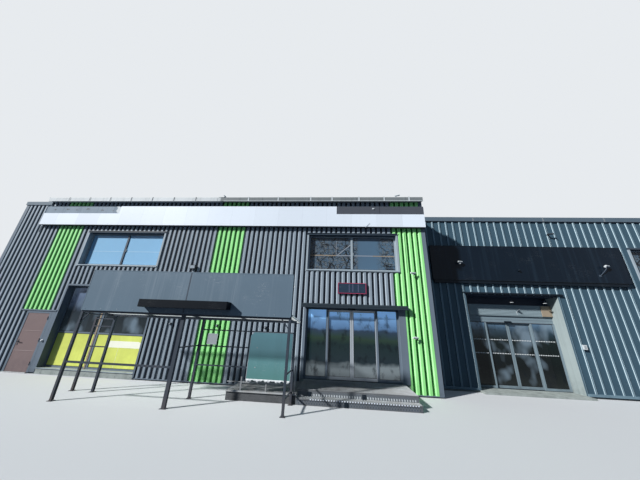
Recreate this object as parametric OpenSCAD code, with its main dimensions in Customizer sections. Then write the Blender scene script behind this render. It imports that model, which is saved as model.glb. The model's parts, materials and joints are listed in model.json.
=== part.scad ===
// Metal-clad supermarket: a tall main block with an upper office row, a lower set-back wing,
// a raised entrance landing and a trolley shelter in front.
// Millimetres. X runs along the street front from the centreline of the main entrance,
// Y runs into the building from the centreline of the main front wall, Z is height above ground.

/* [Main block] */
// Distance from the entrance centreline to the left end
main_left = 15100; // [14500:50:16500]
// Distance from the entrance centreline to the right end
main_right = 2850; // [2850:50:3600]
// Depth between the front and rear wall centrelines
main_depth = 15000; // [12000:100:18000]
// Top of the front parapet wall, under its coping
parapet_top = 7000; // [6900:10:7400]
// Top of the side and rear parapets
low_parapet_top = 6850; // [6800:10:6950]
// Length of the left stretch of the front that has the low parapet
low_parapet_run = 1250; // [600:50:1600]
// Thickness of the outer walls without the ribbed sheets
wall_t = 200; // [120:10:260]
// Height of the shop floor above ground
floor_h = 320; // [200:10:360]

/* [Storeys] */
// Underside of the upper floor slab
upper_floor_z = 3300; // [3260:10:3400]
// Thickness of the upper floor slab
upper_floor_t = 280; // [180:10:320]
// Underside of the roof decks
roof_z = 6200; // [6000:10:6300]
// Thickness of the roof decks
roof_t = 220; // [120:10:300]

/* [Ribbed sheets] */
// Rib pitch of the main sheets
rib_pitch = 200; // [160:10:250]
// Flat valley between two main ribs
rib_valley = 60; // [50:5:70]
// Run of each sloping side of a main rib
rib_slope = 30; // [20:5:40]
// Height of the main ribs
rib_depth = 40; // [20:5:55]
// Rib pitch of the wing sheets
wing_pitch = 300; // [250:10:350]
// Flat valley between two wing ribs
wing_valley = 215; // [180:5:230]
// Run of each sloping side of a wing rib
wing_slope = 15; // [10:5:25]
// Height of the wing ribs
wing_rib_depth = 35; // [20:5:45]
// Backing thickness of every sheet
sheet_t = 5; // [3:1:8]
// Gap between the sheets and the ground
sheet_lift = 50; // [30:10:90]
// Width of each green stripe
stripe_w = 1200; // [800:200:1200]
// Left edge of the left stripe
stripe_left_x = -13000; // [-13000:200:-13000]
// Left edge of the middle stripe
stripe_mid_x = -5600; // [-6400:200:-5200]
// Left edge of the right stripe
stripe_right_x = 1600; // [1600:200:1600]

/* [Fascia band] */
// Underside of the white band
band_z = 5820; // [5750:10:5900]
// Height of the white band
band_h = 900; // [700:10:950]
// How far the band stands out from the ribs
band_out = 150; // [80:10:200]
// Height of the strips let into the top of the band
strip_h = 350; // [250:10:420]
// Length of the bare strip at the left of the band
bare_strip_l = 3650; // [2500:50:5000]
// Length of the dark strip at the right of the band
dark_strip_l = 3450; // [2500:50:4500]
// Thickness of the let-in strips
strip_t = 30; // [15:5:60]
// How far the coping stands out from the ribs
coping_out = 200; // [160:10:300]
// Height of the coping
coping_h = 200; // [120:10:240]
// Spacing of the coping's joint covers
coping_joint = 1000; // [800:50:1500]

/* [Upper windows] */
// Width over the trims of one upper window
window_w = 3600; // [2600:50:3700]
// Height of the window sills
window_z = 4000; // [3900:10:4100]
// Height over the trims of one upper window
window_h = 1580; // [1300:10:1650]
// Centre of the left window
window_left_x = -9660; // [-9700:10:-9500]
// Centre of the right window
window_right_x = 20; // [-400:10:20]
// Width of the window trims
trim_w = 70; // [50:5:90]
// How far the glass lies behind the ribs
window_recess = 170; // [120:10:190]

/* [Shop window] */
// Left edge of the shop window
shop_x = -11430; // [-11450:10:-11400]
// Width of the shop window
shop_w = 3780; // [3000:10:3800]
// Sill height of the shop window
shop_sill = 200; // [150:10:300]
// Head height of the shop window
shop_head = 3200; // [2800:10:3230]
// Top of the lower panels
shop_rail_z = 1430; // [1200:10:1700]
// How far the glass lies behind the ribs
shop_recess = 230; // [180:10:230]

/* [Service door] */
// Left edge of the leaf
door_x = -12650; // [-12660:10:-12600]
// Width of the leaf
door_w = 900; // [800:10:900]
// Height of the leaf
door_h = 2040; // [1900:10:2050]
// Thickness of the leaf
door_t = 45; // [40:5:60]
// Width of the door frame around the leaf
door_frame_w = 90; // [60:5:90]
// Height of the leaf's bottom edge
door_lift = 35; // [30:5:40]

/* [Main entrance] */
// Half width of the glazed front
entrance_half = 1650; // [1500:10:1650]
// Width of the left jamb
jamb_left = 90; // [60:10:120]
// Width of the right jamb
jamb_right = 230; // [150:10:230]
// Clear height of the doorway above the floor
entrance_h = 2280; // [2100:10:2300]
// Height of the header above the doorway
header_h = 190; // [180:10:220]
// Half width of the doorway between the fixed side lights
doorway_half = 850; // [700:10:850]
// Width of the frame profiles
profile_w = 60; // [50:5:70]
// Thickness of a sliding leaf
leaf_t = 40; // [35:1:45]
// How far each leaf slides
leaf_travel = 740; // [600:10:740]
// How far the hood stands out from the ribs
hood_out = 200; // [120:10:350]
// Height of the hood
hood_h = 150; // [100:10:200]

/* [Entrance landing] */
// Left end of the landing
landing_x = -1600; // [-1800:50:-1550]
// Length of the landing
landing_l = 3300; // [3000:50:3600]
// Depth of the landing in front of the ribs
landing_d = 1400; // [1200:50:1500]
// Depth of the lower step
step_d = 260; // [250:10:350]
// Height of the lower step
step_h = 160; // [140:5:180]
// Length of the side walkway at the left of the landing
walkway_l = 1950; // [1000:50:2400]
// Height of the side walkway
walkway_h = 250; // [200:10:300]
// Height of the kerb rail above the side walkway
kerb_rail_h = 190; // [150:10:300]
// Thickness of the grating
grate_t = 40; // [25:5:60]

/* [Trolley shelter] */
// Left end of the shelter
shelter_x = -7550; // [-7600:50:-7300]
// Length of the shelter
shelter_l = 5850; // [5000:50:5900]
// Distance from the ribs to the front face of the shelter
shelter_out = 2700; // [2500:50:3200]
// Underside of the shelter's front panel
shelter_z = 2150; // [2100:10:2400]
// Height of the shelter's front panel
shelter_panel_h = 1120; // [800:10:1200]
// Depth of the shelter's roof
shelter_d = 1550; // [1300:50:1600]
// Fall of the shelter's roof from front to back
shelter_fall = 110; // [60:10:160]
// Width of the square posts
post_w = 60; // [50:5:80]
// Width of the middle front post
mid_post_w = 90; // [70:5:120]
// Length of the dark box on the front panel
box_l = 2390; // [1500:10:3000]
// Height of the dark box
box_h = 190; // [150:10:300]
// Depth of the dark box
box_d = 250; // [150:10:300]
// Distance from the shelter's left end to the dark box
box_lead = 1830; // [1500:10:2200]
// Distance from the front panel's underside to the dark box
box_lift = 135; // [80:5:200]
// Distance from the middle front post to the shelter's right end
mid_post_back = 2940; // [2500:10:3200]
// Distance from the middle rear post to the shelter's right end
rear_mid_back = 2860; // [2500:10:3200]
// Distance from the shelter's left end to its left rear post
rear_post_lead = 130; // [0:10:300]
// Distance from the front posts to the rear posts
rear_post_set = 945; // [900:5:950]
// Height of the street rail
street_rail_z = 850; // [700:10:1000]
// Heights of the rear rails, from the lowest up
rear_rail_low = 815; // [700:5:900]
rear_rail_mid = 1315; // [1200:5:1400]
rear_rail_high = 1750; // [1600:5:1800]
// Height of the low side link at the right end
side_link_low = 290; // [200:5:400]
// Distance from the ladder-shaped side frame to the shelter
ladder_out = 490; // [400:10:700]
// Height of the ladder-shaped side frame
ladder_h = 2000; // [1900:10:2100]
// Width of the screen
screen_w = 1240; // [900:10:1300]
// Underside of the screen
screen_z = 520; // [400:10:600]
// Height of the screen
screen_h = 1240; // [1000:10:1300]

/* [Wing] */
// Right end of the wing
wing_right = 15300; // [14800:50:16500]
// Distance from the main front wall to the wing's front wall
wing_setback = 1300; // [1000:50:1600]
// Top of the wing's walls
wing_top = 6750; // [6700:10:6820]
// Height of the wing's floor
wing_floor_h = 60; // [50:5:80]
// Left edge of the wing's entrance recess
recess_x = 4650; // [4600:10:5000]
// Width of the recess
recess_w = 3600; // [3500:10:3700]
// Head height of the recess
recess_head = 3500; // [3400:10:3550]
// Distance from the wing's ribs to the recessed glazing
recess_d = 560; // [450:10:700]
// Head height of the wing's doorway
wing_door_head = 2440; // [2300:10:2550]
// Height of the header over the wing's doorway
wing_header_h = 270; // [190:10:300]
// Height of the roller shutter's box
shutter_h = 450; // [350:10:450]
// Left edge of the black panel
panel_x = 3450; // [3400:50:4000]
// Length of the black panel
panel_l = 7600; // [6000:50:7700]
// Underside of the black panel
panel_z = 4030; // [3900:10:4100]
// Height of the black panel
panel_h = 1500; // [1200:10:1510]
// Depth of the black panel
panel_t = 120; // [80:10:160]
// Distance from the wing's window to the wing's right end
wing_window_margin = 200; // [200:10:400]

/* [Fittings] */
// Distance from the display panel's left edge to the entrance centreline
display_x = 510; // [200:10:600]
// Width of the display panel
display_w = 1040; // [700:10:1100]
// Underside of the display panel
display_z = 3170; // [3000:10:3200]
// Height of the display panel
display_h = 390; // [300:10:450]
// How far the display panel stands out
display_out = 60; // [40:5:120]
// Width of the notice plate on the middle stripe
notice_w = 360; // [250:10:400]
// Height of the notice plate
notice_h = 360; // [250:10:400]
// Underside of the notice plate
notice_z = 1250; // [1100:10:1400]
// Distance from the upper wall camera to the main block's right end
camera_inset = 570; // [500:10:900]
// Height of the upper wall camera
camera_z = 3980; // [3500:10:4200]
// Distance from the lower wall camera to the main block's right end
low_camera_inset = 690; // [500:10:900]
// Height of the lower wall camera
low_camera_z = 1750; // [1500:10:2000]
// Distance from the coping's camera to the main block's right end
coping_camera_inset = 970; // [500:10:1500]
// Distance from the wing's camera to the entrance recess
wing_camera_lead = 300; // [0:300:600]
// Height of the wing's camera
wing_camera_z = 6120; // [5900:10:6300]
// Distance from the alarm box to the entrance recess
alarm_lead = 300; // [200:10:500]
// Height of the alarm box's underside
alarm_z = 1570; // [1400:10:2000]
// Distance from the panel's right camera to its right end
panel_camera_inset = 800; // [600:10:1500]
// Height of the panel's right camera above its underside
panel_camera_rise = 680; // [400:10:900]
// Distance from the panel's left camera to its left end
panel_camera_lead = 1160; // [900:10:1500]
// Height of the floodlight's underside above the shelter
flood_z = 3960; // [3900:10:4200]
// Distance from the floodlight to the shelter's left end
flood_lead = 1150; // [800:10:2000]
// Height of the underside of the small wall lamps under the shelter
wall_lamp_z = 1850; // [1800:10:1900]
// Distance from the shelter's left end to the first wall lamp
wall_lamp_lead = 810; // [610:200:1210]
// Spacing of the wall lamps
wall_lamp_pitch = 1800; // [1600:200:2000]

/* [Hidden] */

// Wall faces and rib crests, measured from the front wall's centreline
face_y = -wall_t / 2;
inner_y = wall_t / 2;
crest_y = face_y - sheet_t - rib_depth;
wing_face_y = wing_setback + face_y;
wing_inner_y = wing_setback + inner_y;
wing_crest_y = wing_face_y - sheet_t - wing_rib_depth;
rear_y = main_depth - inner_y;
outer_rear_y = main_depth + inner_y;
main_skin = sheet_t + rib_depth;
wing_skin = sheet_t + wing_rib_depth;
corner_leg = 100;
running_gap = 10;
seat_gap = 0.3;
glass_t = 12;
glass_set = 16;
sash_t = 50;
guard_lift = 620;
guard_h = 40;
door_gap = 5;
door_stop = 15;
cheek_t = 40;

// A box from its low and high corners
module block(x, y, z) {
    translate([x[0], y[0], z[0]])
        cube([x[1] - x[0], y[1] - y[0], z[1] - z[0]]);
}

// An outline in Y and Z carried along X
module along_x(x) {
    translate([x[0], 0, 0])
        rotate([90, 0, 90])
            linear_extrude(x[1] - x[0]) children();
}

// A rectangular frame that faces the street
module ring(x, y, z, w) {
    difference() {
        block(x, y, z);
        block([x[0] + w, x[1] - w], [y[0] - 1, y[1] + 1], [z[0] + w, z[1] - w]);
    }
}

// Height of the ribbed surface at a place along the sheet; p is [pitch, valley, slope, depth]
function rib_height(x, p) =
    let (u = x - floor(x / p[0]) * p[0] + p[1] / 2, v = u > p[0] ? u - p[0] : u,
        crest_end = p[0] - p[2])
    v <= p[1] ? 0 :
    v < p[1] + p[2] ? p[3] * (v - p[1]) / p[2] :
    v <= crest_end ? p[3] :
    p[3] * (p[0] - v) / p[2];

// Corners of the ribbed outline between two places along the sheet
function rib_corners(x, p) =
    let (turns = [0, p[1], p[1] + p[2], p[0] - p[2]])
    [for (k = [floor(x[0] / p[0]) - 1 : ceil(x[1] / p[0]) + 1], t = turns)
        let (c = k * p[0] - p[1] / 2 + t) if (c > x[0] + 1 && c < x[1] - 1) c];

// A ribbed sheet along X that faces the street, its back in the plane Y = 0
module ribbed_sheet(x, z, p) {
    stations = concat([x[0]], rib_corners(x, p), [x[1]]);
    outline = concat([[x[1], 0], [x[0], 0]], [for (s = stations) [s, -sheet_t - rib_height(s, p)]]);
    translate([0, 0, z[0]])
        linear_extrude(z[1] - z[0]) polygon(outline);
}

main_ribs = [rib_pitch, rib_valley, rib_slope, rib_depth];
wing_ribs = [wing_pitch, wing_valley, wing_slope, wing_rib_depth];

// Extents of the openings over their trims
left_window = [window_left_x - window_w / 2, window_left_x + window_w / 2];
right_window = [window_right_x - window_w / 2, window_right_x + window_w / 2];
window_span = [window_z, window_z + window_h];
shop_span = [shop_x, shop_x + shop_w];
door_span = [door_x - door_frame_w, door_x + door_w + door_frame_w];
door_head = door_lift + door_h + door_frame_w;
entrance_span = [-entrance_half - jamb_left, entrance_half + jamb_right];
entrance_head = floor_h + entrance_h + header_h;
recess_span = [recess_x, recess_x + recess_w];
front_run = [low_parapet_run - main_left, main_right];
band_y = crest_y - band_out;
band_span = [band_z, band_z + band_h];
strip_span = [band_z + band_h - strip_h, band_z + band_h];
shop_sash_y = [crest_y + shop_recess, crest_y + shop_recess + sash_t];
shop_pane_z = [shop_sill + profile_w, shop_head - profile_w];
shop_mullion_lead = 1640;
shop_mullion_w = 120;
shop_mullion = [shop_x + shop_mullion_lead, shop_x + shop_mullion_lead + shop_mullion_w];
wing_window = [wing_right - wing_window_margin - window_w, wing_right - wing_window_margin];
// Wall opening inside a window's trim
lining_t = 15;
trim_lap = trim_w - lining_t;
trim_out = 10;
// The ground storey's piers end a little above the shop window's head
ground_top = shop_head + 50;

// Ground floor and slabs

// The shop floor with a sunk lobby behind the service door
lobby_d = 1500;
module main_floor() color("silver") difference() {
    block([-main_left, main_right], [face_y, outer_rear_y], [0, floor_h]);
    block(door_span, [face_y - 1, lobby_d], [door_lift - 5, floor_h + 1]);
    // Rebate in the slab's edge for the shop window
    block(shop_span, [face_y - 1, shop_sash_y[1]], [shop_sill, floor_h + 1]);
}

apron_out = 350;
module wing_floor() color("silver") {
    block([main_right, wing_right], [wing_face_y, outer_rear_y], [0, wing_floor_h]);
    block(recess_span, [wing_face_y - apron_out, wing_face_y], [0, wing_floor_h]);
}

module upper_floor() color("lightgrey")
    block([wall_t - main_left, main_right - wall_t], [inner_y, rear_y],
        [upper_floor_z, upper_floor_z + upper_floor_t]);

// Walls

module wall_piece(x, z) block(x, [face_y, inner_y], z);

// Inner limits of a window's wall opening
function opening(span) = [span[0] + trim_lap, span[1] - trim_lap];
sill_z = window_span[0] + trim_lap;
head_z = window_span[1] - trim_lap;

module front_wall_piers() color("dimgrey") {
    for (x = [[-main_left, door_span[0]], [door_span[1], shop_span[0]],
            [shop_span[1], entrance_span[0]], [entrance_span[1], main_right]])
        wall_piece(x, [floor_h, ground_top]);
    for (x = [[-main_left, opening(left_window)[0]],
            [opening(left_window)[1], opening(right_window)[0]],
            [opening(right_window)[1], main_right]])
        wall_piece(x, [sill_z, head_z]);
}

module front_wall_beams() color("dimgrey") {
    wall_piece([-main_left, main_right], [ground_top, sill_z]);
    wall_piece([-main_left, main_right], [head_z, low_parapet_top]);
    wall_piece([-main_left + low_parapet_run, main_right], [low_parapet_top, parapet_top]);
}

module door_lintels() color("dimgrey") {
    wall_piece(door_span, [door_head, ground_top]);
    wall_piece(entrance_span, [entrance_head, ground_top]);
    wall_piece(shop_span, [shop_head, ground_top]);
}

module cross_walls() color("dimgrey") {
    for (x = [-main_left, main_right - wall_t])
        block([x, x + wall_t], [inner_y, rear_y], [floor_h, low_parapet_top]);
    block([wing_right - wall_t, wing_right], [wing_inner_y, rear_y], [wing_floor_h, wing_top]);
}

// One rear wall over both blocks, its top and foot stepped at the wing
module rear_wall() color("dimgrey")
    translate([0, outer_rear_y, 0])
        rotate([90, 0, 0])
            linear_extrude(wall_t)
                polygon([[-main_left, floor_h], [main_right, floor_h], [main_right, wing_floor_h],
                    [wing_right, wing_floor_h], [wing_right, wing_top], [main_right, wing_top],
                    [main_right, low_parapet_top], [-main_left, low_parapet_top]]);

module wing_piece(x, z) block(x, [wing_face_y, wing_inner_y], z);

module wing_wall_piers() color("dimgrey") {
    wing_piece([main_right, recess_span[0]], [wing_floor_h, recess_head]);
    wing_piece([recess_span[1], wing_right], [wing_floor_h, recess_head]);
    wing_piece([main_right, opening(wing_window)[0]], [sill_z, head_z]);
    wing_piece([opening(wing_window)[1], wing_right], [sill_z, head_z]);
}

module wing_wall_beams() color("dimgrey") {
    wing_piece([main_right, wing_right], [recess_head, sill_z]);
    wing_piece([main_right, wing_right], [head_z, wing_top]);
}

wing_roof_drop = 100;
module roof_decks() color("grey") {
    block([wall_t - main_left, main_right - wall_t], [inner_y, rear_y], [roof_z, roof_z + roof_t]);
    block([main_right, wing_right - wall_t], [wing_inner_y, rear_y],
        [roof_z - wing_roof_drop, roof_z + roof_t - wing_roof_drop]);
}

// Ribbed sheets

// All openings in the main front, cut through the sheets
module front_openings() {
    for (x = [left_window, right_window])
        block(x, [crest_y - 1, 1], window_span);
    block(shop_span, [crest_y - 1, 1], [0, shop_head]);
    block(door_span, [crest_y - 1, 1], [0, door_head]);
    block(entrance_span, [crest_y - 1, 1], [0, entrance_head]);
}

module front_sheet(x, top) difference() {
    translate([0, face_y, 0]) ribbed_sheet(x, [sheet_lift, top], main_ribs);
    front_openings();
}

module grey_sheets() color("slategrey") {
    front_sheet([corner_leg - main_left, front_run[0]], low_parapet_top);
    front_sheet([front_run[0], stripe_left_x], parapet_top);
    front_sheet([stripe_left_x, door_span[0]], door_head);
    front_sheet([stripe_left_x + stripe_w, stripe_mid_x], parapet_top);
    front_sheet([stripe_mid_x + stripe_w, stripe_right_x], parapet_top);
}

// The left stripe ends over the service door's flashing; grey ribs go on beside the door
module green_sheets() color("limegreen") difference() {
    for (x = [stripe_left_x, stripe_mid_x, stripe_right_x])
        front_sheet([x, min(x + stripe_w, main_right - corner_leg)], parapet_top);
    block([stripe_left_x - 1, door_span[0] + 1], [crest_y - 1, 1], [0, door_head]);
}

module wing_sheets() color("lightslategrey") difference() {
    translate([0, wing_face_y, 0])
        ribbed_sheet([main_right + main_skin, wing_right - corner_leg],
            [wing_floor_h, wing_top], wing_ribs);
    block(recess_span, [wing_crest_y - 1, wing_face_y + 1], [0, recess_head]);
    block(wing_window, [wing_crest_y - 1, wing_face_y + 1], window_span);
}

// Sheets on the left end, the main block's return, the wing's end and both rear walls
module side_rear_sheets() color("slategrey") {
    translate([-main_left, 0, 0]) rotate([0, 0, -90])
        ribbed_sheet([corner_leg - outer_rear_y, -face_y - corner_leg],
            [sheet_lift, low_parapet_top], main_ribs);
    translate([main_right, 0, 0]) rotate([0, 0, 90])
        ribbed_sheet([face_y + corner_leg, wing_face_y], [sheet_lift, low_parapet_top], main_ribs);
    translate([wing_right, 0, 0]) rotate([0, 0, 90])
        ribbed_sheet([wing_face_y + corner_leg, outer_rear_y - corner_leg],
            [sheet_lift, wing_top], wing_ribs);
    translate([0, outer_rear_y, 0]) rotate([0, 0, 180]) {
        ribbed_sheet([-main_right, main_left - corner_leg], [sheet_lift, low_parapet_top], main_ribs);
        ribbed_sheet([corner_leg - wing_right, -main_right], [sheet_lift, wing_top], wing_ribs);
    }
}

// Folded corner of the sheets; the outline opens to the right and to the street
module corner_trim(x, y, depth, z) {
    translate([x, y, z[0]])
        linear_extrude(z[1] - z[0])
            polygon([[-corner_leg, -depth], [depth, -depth], [depth, corner_leg],
                [0, corner_leg], [0, 0], [-corner_leg, 0]]);
}

module corner_trims() color("grey") {
    corner_trim(main_right, face_y, main_skin, [sheet_lift, parapet_top]);
    corner_trim(wing_right, wing_face_y, wing_skin, [sheet_lift, wing_top]);
    mirror([1, 0, 0]) corner_trim(main_left, face_y, main_skin, [sheet_lift, low_parapet_top]);
    translate([0, outer_rear_y, 0]) mirror([0, 1, 0]) {
        corner_trim(wing_right, 0, wing_skin, [sheet_lift, wing_top]);
        mirror([1, 0, 0]) corner_trim(main_left, 0, main_skin, [sheet_lift, low_parapet_top]);
    }
}

// Copings and the fascia band

coping_t = 150;
coping_top = parapet_top + coping_t;
drip_w = 25;
joint_w = 60;
joint_t = 8;

// The overhanging front coping with a cover over each joint
module front_coping() color("gainsboro") {
    low_z = coping_top - coping_h;
    out_y = crest_y - coping_out;
    back_y = inner_y + drip_w;
    along_x([front_run[0], main_right + main_skin])
        polygon([[out_y + drip_w, parapet_top], [out_y + drip_w, low_z], [out_y, low_z],
            [out_y, coping_top - drip_w], [out_y + drip_w, coping_top], [back_y, coping_top],
            [back_y, low_z], [inner_y, low_z], [inner_y, parapet_top]]);
    for (x = [front_run[0] + coping_joint : coping_joint : front_run[1] - joint_w])
        block([x, x + joint_w], [out_y - joint_t, out_y + 1], [low_z, coping_top - drip_w]);
}

low_coping_h = 170;
wing_coping_h = 200;

// Caps on all the lower walls; the ribs end against their undersides
module low_copings() color("slategrey") {
    lip = 30;
    low_z = [low_parapet_top, low_parapet_top + low_coping_h];
    wing_z = [wing_top, wing_top + wing_coping_h];
    left_x = -main_left - main_skin - lip;
    right_x = wing_right + wing_skin + lip;
    back_y = outer_rear_y + main_skin + lip;
    party_x = [main_right - wall_t - lip, main_right + main_skin + lip];
    block([left_x, front_run[0]], [crest_y - lip, inner_y + lip], low_z);
    block([left_x, wall_t + lip - main_left], [crest_y - lip, back_y], low_z);
    block([left_x, party_x[1]], [rear_y - lip, back_y], low_z);
    block(party_x, [inner_y + lip, back_y], low_z);
    block([party_x[1], right_x], [wing_crest_y - lip, wing_inner_y + lip], wing_z);
    block([party_x[1], right_x], [rear_y - lip, back_y], wing_z);
    block([wing_right - wall_t - lip, right_x], [wing_crest_y - lip, back_y], wing_z);
}

module white_band() color("white") difference() {
    block([front_run[0], main_right + main_skin], [band_y, crest_y], band_span);
    bare_strip_room();
    dark_strip_room();
}

// Rebates in the top of the band for the two strips
module bare_strip_room()
    block([front_run[0] - 1, front_run[0] + bare_strip_l], [band_y - 1, band_y + strip_t], strip_span);

module dark_strip_room()
    block([main_right - dark_strip_l, main_right + main_skin + 1], [band_y - 1, band_y + strip_t],
        strip_span);

bare_strip_slant = 120;

// The bare strip ends on a slant where the white sheet was cut back
module bare_strip() color("lightsteelblue")
    translate([0, band_y + strip_t, 0])
        rotate([90, 0, 0])
            linear_extrude(strip_t / 2)
                polygon([[front_run[0], strip_span[0]],
                    [front_run[0] + bare_strip_l, strip_span[0]],
                    [front_run[0] + bare_strip_l - bare_strip_slant, strip_span[1]],
                    [front_run[0], strip_span[1]]]);

module dark_strip() color("dimgray")
    block([main_right - dark_strip_l, main_right + main_skin], [band_y + 5, band_y + strip_t],
        strip_span);

// Upper windows

// Trim, lining, sash and mullion of one window, as one welded frame
module window_frame(span, face, crest) {
    hole = opening(span);
    sash_y = [crest + window_recess, crest + window_recess + sash_t];
    mid = (span[0] + span[1]) / 2;
    ring(span, [crest - trim_out, face], window_span, trim_w);
    ring(hole, [face, sash_y[1]], [sill_z, head_z], lining_t);
    ring([hole[0] + lining_t, hole[1] - lining_t], sash_y,
        [sill_z + lining_t, head_z - lining_t], profile_w);
    block([mid - profile_w / 2, mid + profile_w / 2], sash_y, glass_z(profile_w));
    // Safety bar behind the glass
    block([hole[0] + lining_t + profile_w, hole[1] - lining_t - profile_w],
        [sash_y[1] - glass_t, sash_y[1]],
        [window_z + guard_lift - guard_h / 2, window_z + guard_lift + guard_h / 2]);
}

function glass_z(w) = [sill_z + lining_t + w, head_z - lining_t - w];

module window_panes(span, crest) {
    hole = opening(span);
    edge = lining_t + profile_w;
    mid = (span[0] + span[1]) / 2;
    pane_y = [crest + window_recess + glass_set, crest + window_recess + glass_set + glass_t];
    block([hole[0] + edge, mid - profile_w / 2], pane_y, glass_z(profile_w));
    block([mid + profile_w / 2, hole[1] - edge], pane_y, glass_z(profile_w));
}

module upper_window_frames() color("lightgrey") {
    window_frame(left_window, face_y, crest_y);
    window_frame(right_window, face_y, crest_y);
    window_frame(wing_window, wing_face_y, wing_crest_y);
}

module upper_glass() color("lightblue", 0.5) {
    window_panes(left_window, crest_y);
    window_panes(right_window, crest_y);
    window_panes(wing_window, wing_crest_y);
}

// Shop window

// Cover trim of the recess, lapping over the ribs
shop_trim_w = 50;
module shop_window_frame() color("grey") {
    trim_y = [crest_y - trim_out, crest_y];
    lining_y = [crest_y - trim_out, shop_sash_y[0]];
    for (x = [[shop_span[0] - shop_trim_w, shop_span[0]], [shop_span[1], shop_span[1] + shop_trim_w]])
        block(x, trim_y, [sheet_lift, shop_head + shop_trim_w]);
    block(shop_span, trim_y, [shop_head, shop_head + shop_trim_w]);
    for (x = [[shop_span[0], shop_span[0] + lining_t], [shop_span[1] - lining_t, shop_span[1]]])
        block(x, lining_y, [shop_sill, shop_head]);
    block(shop_span, lining_y, [shop_head - lining_t, shop_head]);
    ring(shop_span, shop_sash_y, [shop_sill, shop_head], profile_w);
    block([shop_mullion[0], shop_mullion[1]], shop_sash_y, shop_pane_z);
    block([shop_span[0] + profile_w, shop_span[1] - profile_w], shop_sash_y,
        [shop_rail_z - profile_w / 2, shop_rail_z + profile_w / 2]);
}

// Clear bays of the shop window on each side of its mullion
function shop_bays() = [[shop_span[0] + profile_w, shop_mullion[0]],
    [shop_mullion[1], shop_span[1] - profile_w]];

module shop_lower_panels() color("yellowgreen")
    for (x = shop_bays())
        block(x, [shop_sash_y[0] + glass_set, shop_sash_y[0] + glass_set + glass_t],
            [shop_sill + profile_w, shop_rail_z - profile_w / 2]);

module shop_plinth() color("lightgrey")
    block(shop_span, [crest_y, face_y], [0, shop_sill]);

// Service door

door_face_y = crest_y + 5;
door_back_y = door_face_y + door_t;
door_frame_y = crest_y - 5;
knuckle_r = 9;
knuckle_h = 60;
hinge_flap = 38;
hinge_x = door_x + door_w + door_gap / 2;
hinge_y = door_frame_y - knuckle_r - 1;
hinge_inset = 230;
hinge_heights = [door_lift + hinge_inset, door_lift + door_h / 2, door_lift + door_h - hinge_inset];
sill_t = 5;
flashing_out = 30;
flashing_h = 50;
plate_t = 3;

module service_door_frame() color("grey") {
    back_y = door_back_y + door_stop;
    difference() {
        block(door_span, [door_frame_y, back_y], [door_lift - sill_t, door_head]);
        block([door_x - door_gap, door_x + door_w + door_gap], [door_frame_y - 1, door_back_y + door_gap],
            [0, door_lift + door_h + door_gap]);
        block([door_x + door_stop, door_x + door_w - door_stop], [door_frame_y - 1, back_y + 1],
            [0, door_lift + door_h - door_stop]);
    }
    // Flashing over the door and the flat cover plate beside it
    block([stripe_left_x, shop_span[0] - shop_trim_w],
        [crest_y - flashing_out, crest_y], [door_head, door_head + flashing_h]);
    block([door_span[1], shop_span[0] - shop_trim_w], [crest_y - plate_t, crest_y],
        [sheet_lift, door_head]);
    for (z = hinge_heights)
        hinge_half([hinge_x, hinge_x + hinge_flap], [hinge_y + 3, door_frame_y], z);
}

// One knuckle and its flap; the door's half stands on the frame's half
module hinge_half(x, y, z) {
    translate([hinge_x, hinge_y, z]) cylinder(h = knuckle_h, r = knuckle_r, $fn = 24);
    block(x, y, [z, z + knuckle_h]);
}

module service_door() color("saddlebrown") {
    block([door_x, door_x + door_w], [door_face_y, door_back_y], [door_lift, door_lift + door_h]);
    for (z = hinge_heights)
        hinge_half([hinge_x - hinge_flap, hinge_x], [hinge_y + 3, door_face_y], z + knuckle_h + seat_gap);
}

handle_inset = 70;
handle_lift = 1000;
handle_out = 55;
module service_door_handle() color("silver") {
    translate([door_x + handle_inset, door_face_y, door_lift + handle_lift]) rotate([90, 0, 0]) {
        cylinder(h = 8, r = 26, $fn = 24);
        cylinder(h = handle_out, r = 10, $fn = 20);
        translate([-10, -10, handle_out - 15]) cube([140, 20, 15]);
    }
}

// Sliding entrances

// Fixed frame of a sliding entrance: side lights, header and the rail that carries the leaves.
// y is the face of the side lights, z the floor and head_h the height of the header.
module sliding_front(mid, y, z, half, clear_h, head_h) {
    top = z + clear_h;
    for (side = [-1, 1]) {
        post = mid + side * (doorway_half + profile_w / 2);
        block([post - profile_w / 2, post + profile_w / 2], [y, y + profile_w], [z, top]);
        end = mid + side * (half - profile_w / 2);
        block([end - profile_w / 2, end + profile_w / 2], [y, y + profile_w], [z, top]);
        bay = side < 0 ? side_bay_left(mid, half) : side_bay_right(mid, half);
        block(bay, [y, y + profile_w], [z, z + bottom_rail_h]);
    }
    block([mid - half, mid + half], [y, y + header_d], [top, top + head_h]);
    rail_y = [y + header_d, y + header_d + rail_w];
    block([mid - half, mid + half], rail_y, [top + rail_z, top + rail_z + rail_t]);
    // Stops that meet the outer roller of each leaf at the end of its travel
    stop = hanger_at(leaf_span(mid, 1), outer_hanger) + leaf_travel + roller_r + running_gap - mid;
    for (x = [[mid - stop - stop_w, mid - stop], [mid + stop, mid + stop + stop_w]])
        block(x, rail_y, [top + rail_z + rail_t, top + rail_z + rail_t + roller_r * 2]);
}

function side_bay_left(mid, half) = [mid - half + profile_w, mid - doorway_half - profile_w];
function side_bay_right(mid, half) = [mid + doorway_half + profile_w, mid + half - profile_w];

module side_lights(mid, y, z, half, clear_h)
    for (bay = [side_bay_left(mid, half), side_bay_right(mid, half)])
        block(bay, [y + glass_set, y + glass_set + glass_t], [z + bottom_rail_h, z + clear_h]);

// Left edge to right edge of the leaf on one side of the doorway
function leaf_span(mid, side) = side < 0 ?
    [mid - doorway_half - leaf_lap, mid - running_gap / 2] :
    [mid + running_gap / 2, mid + doorway_half + leaf_lap];

function hanger_at(x, share) = x[0] + share * (x[1] - x[0]);

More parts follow.
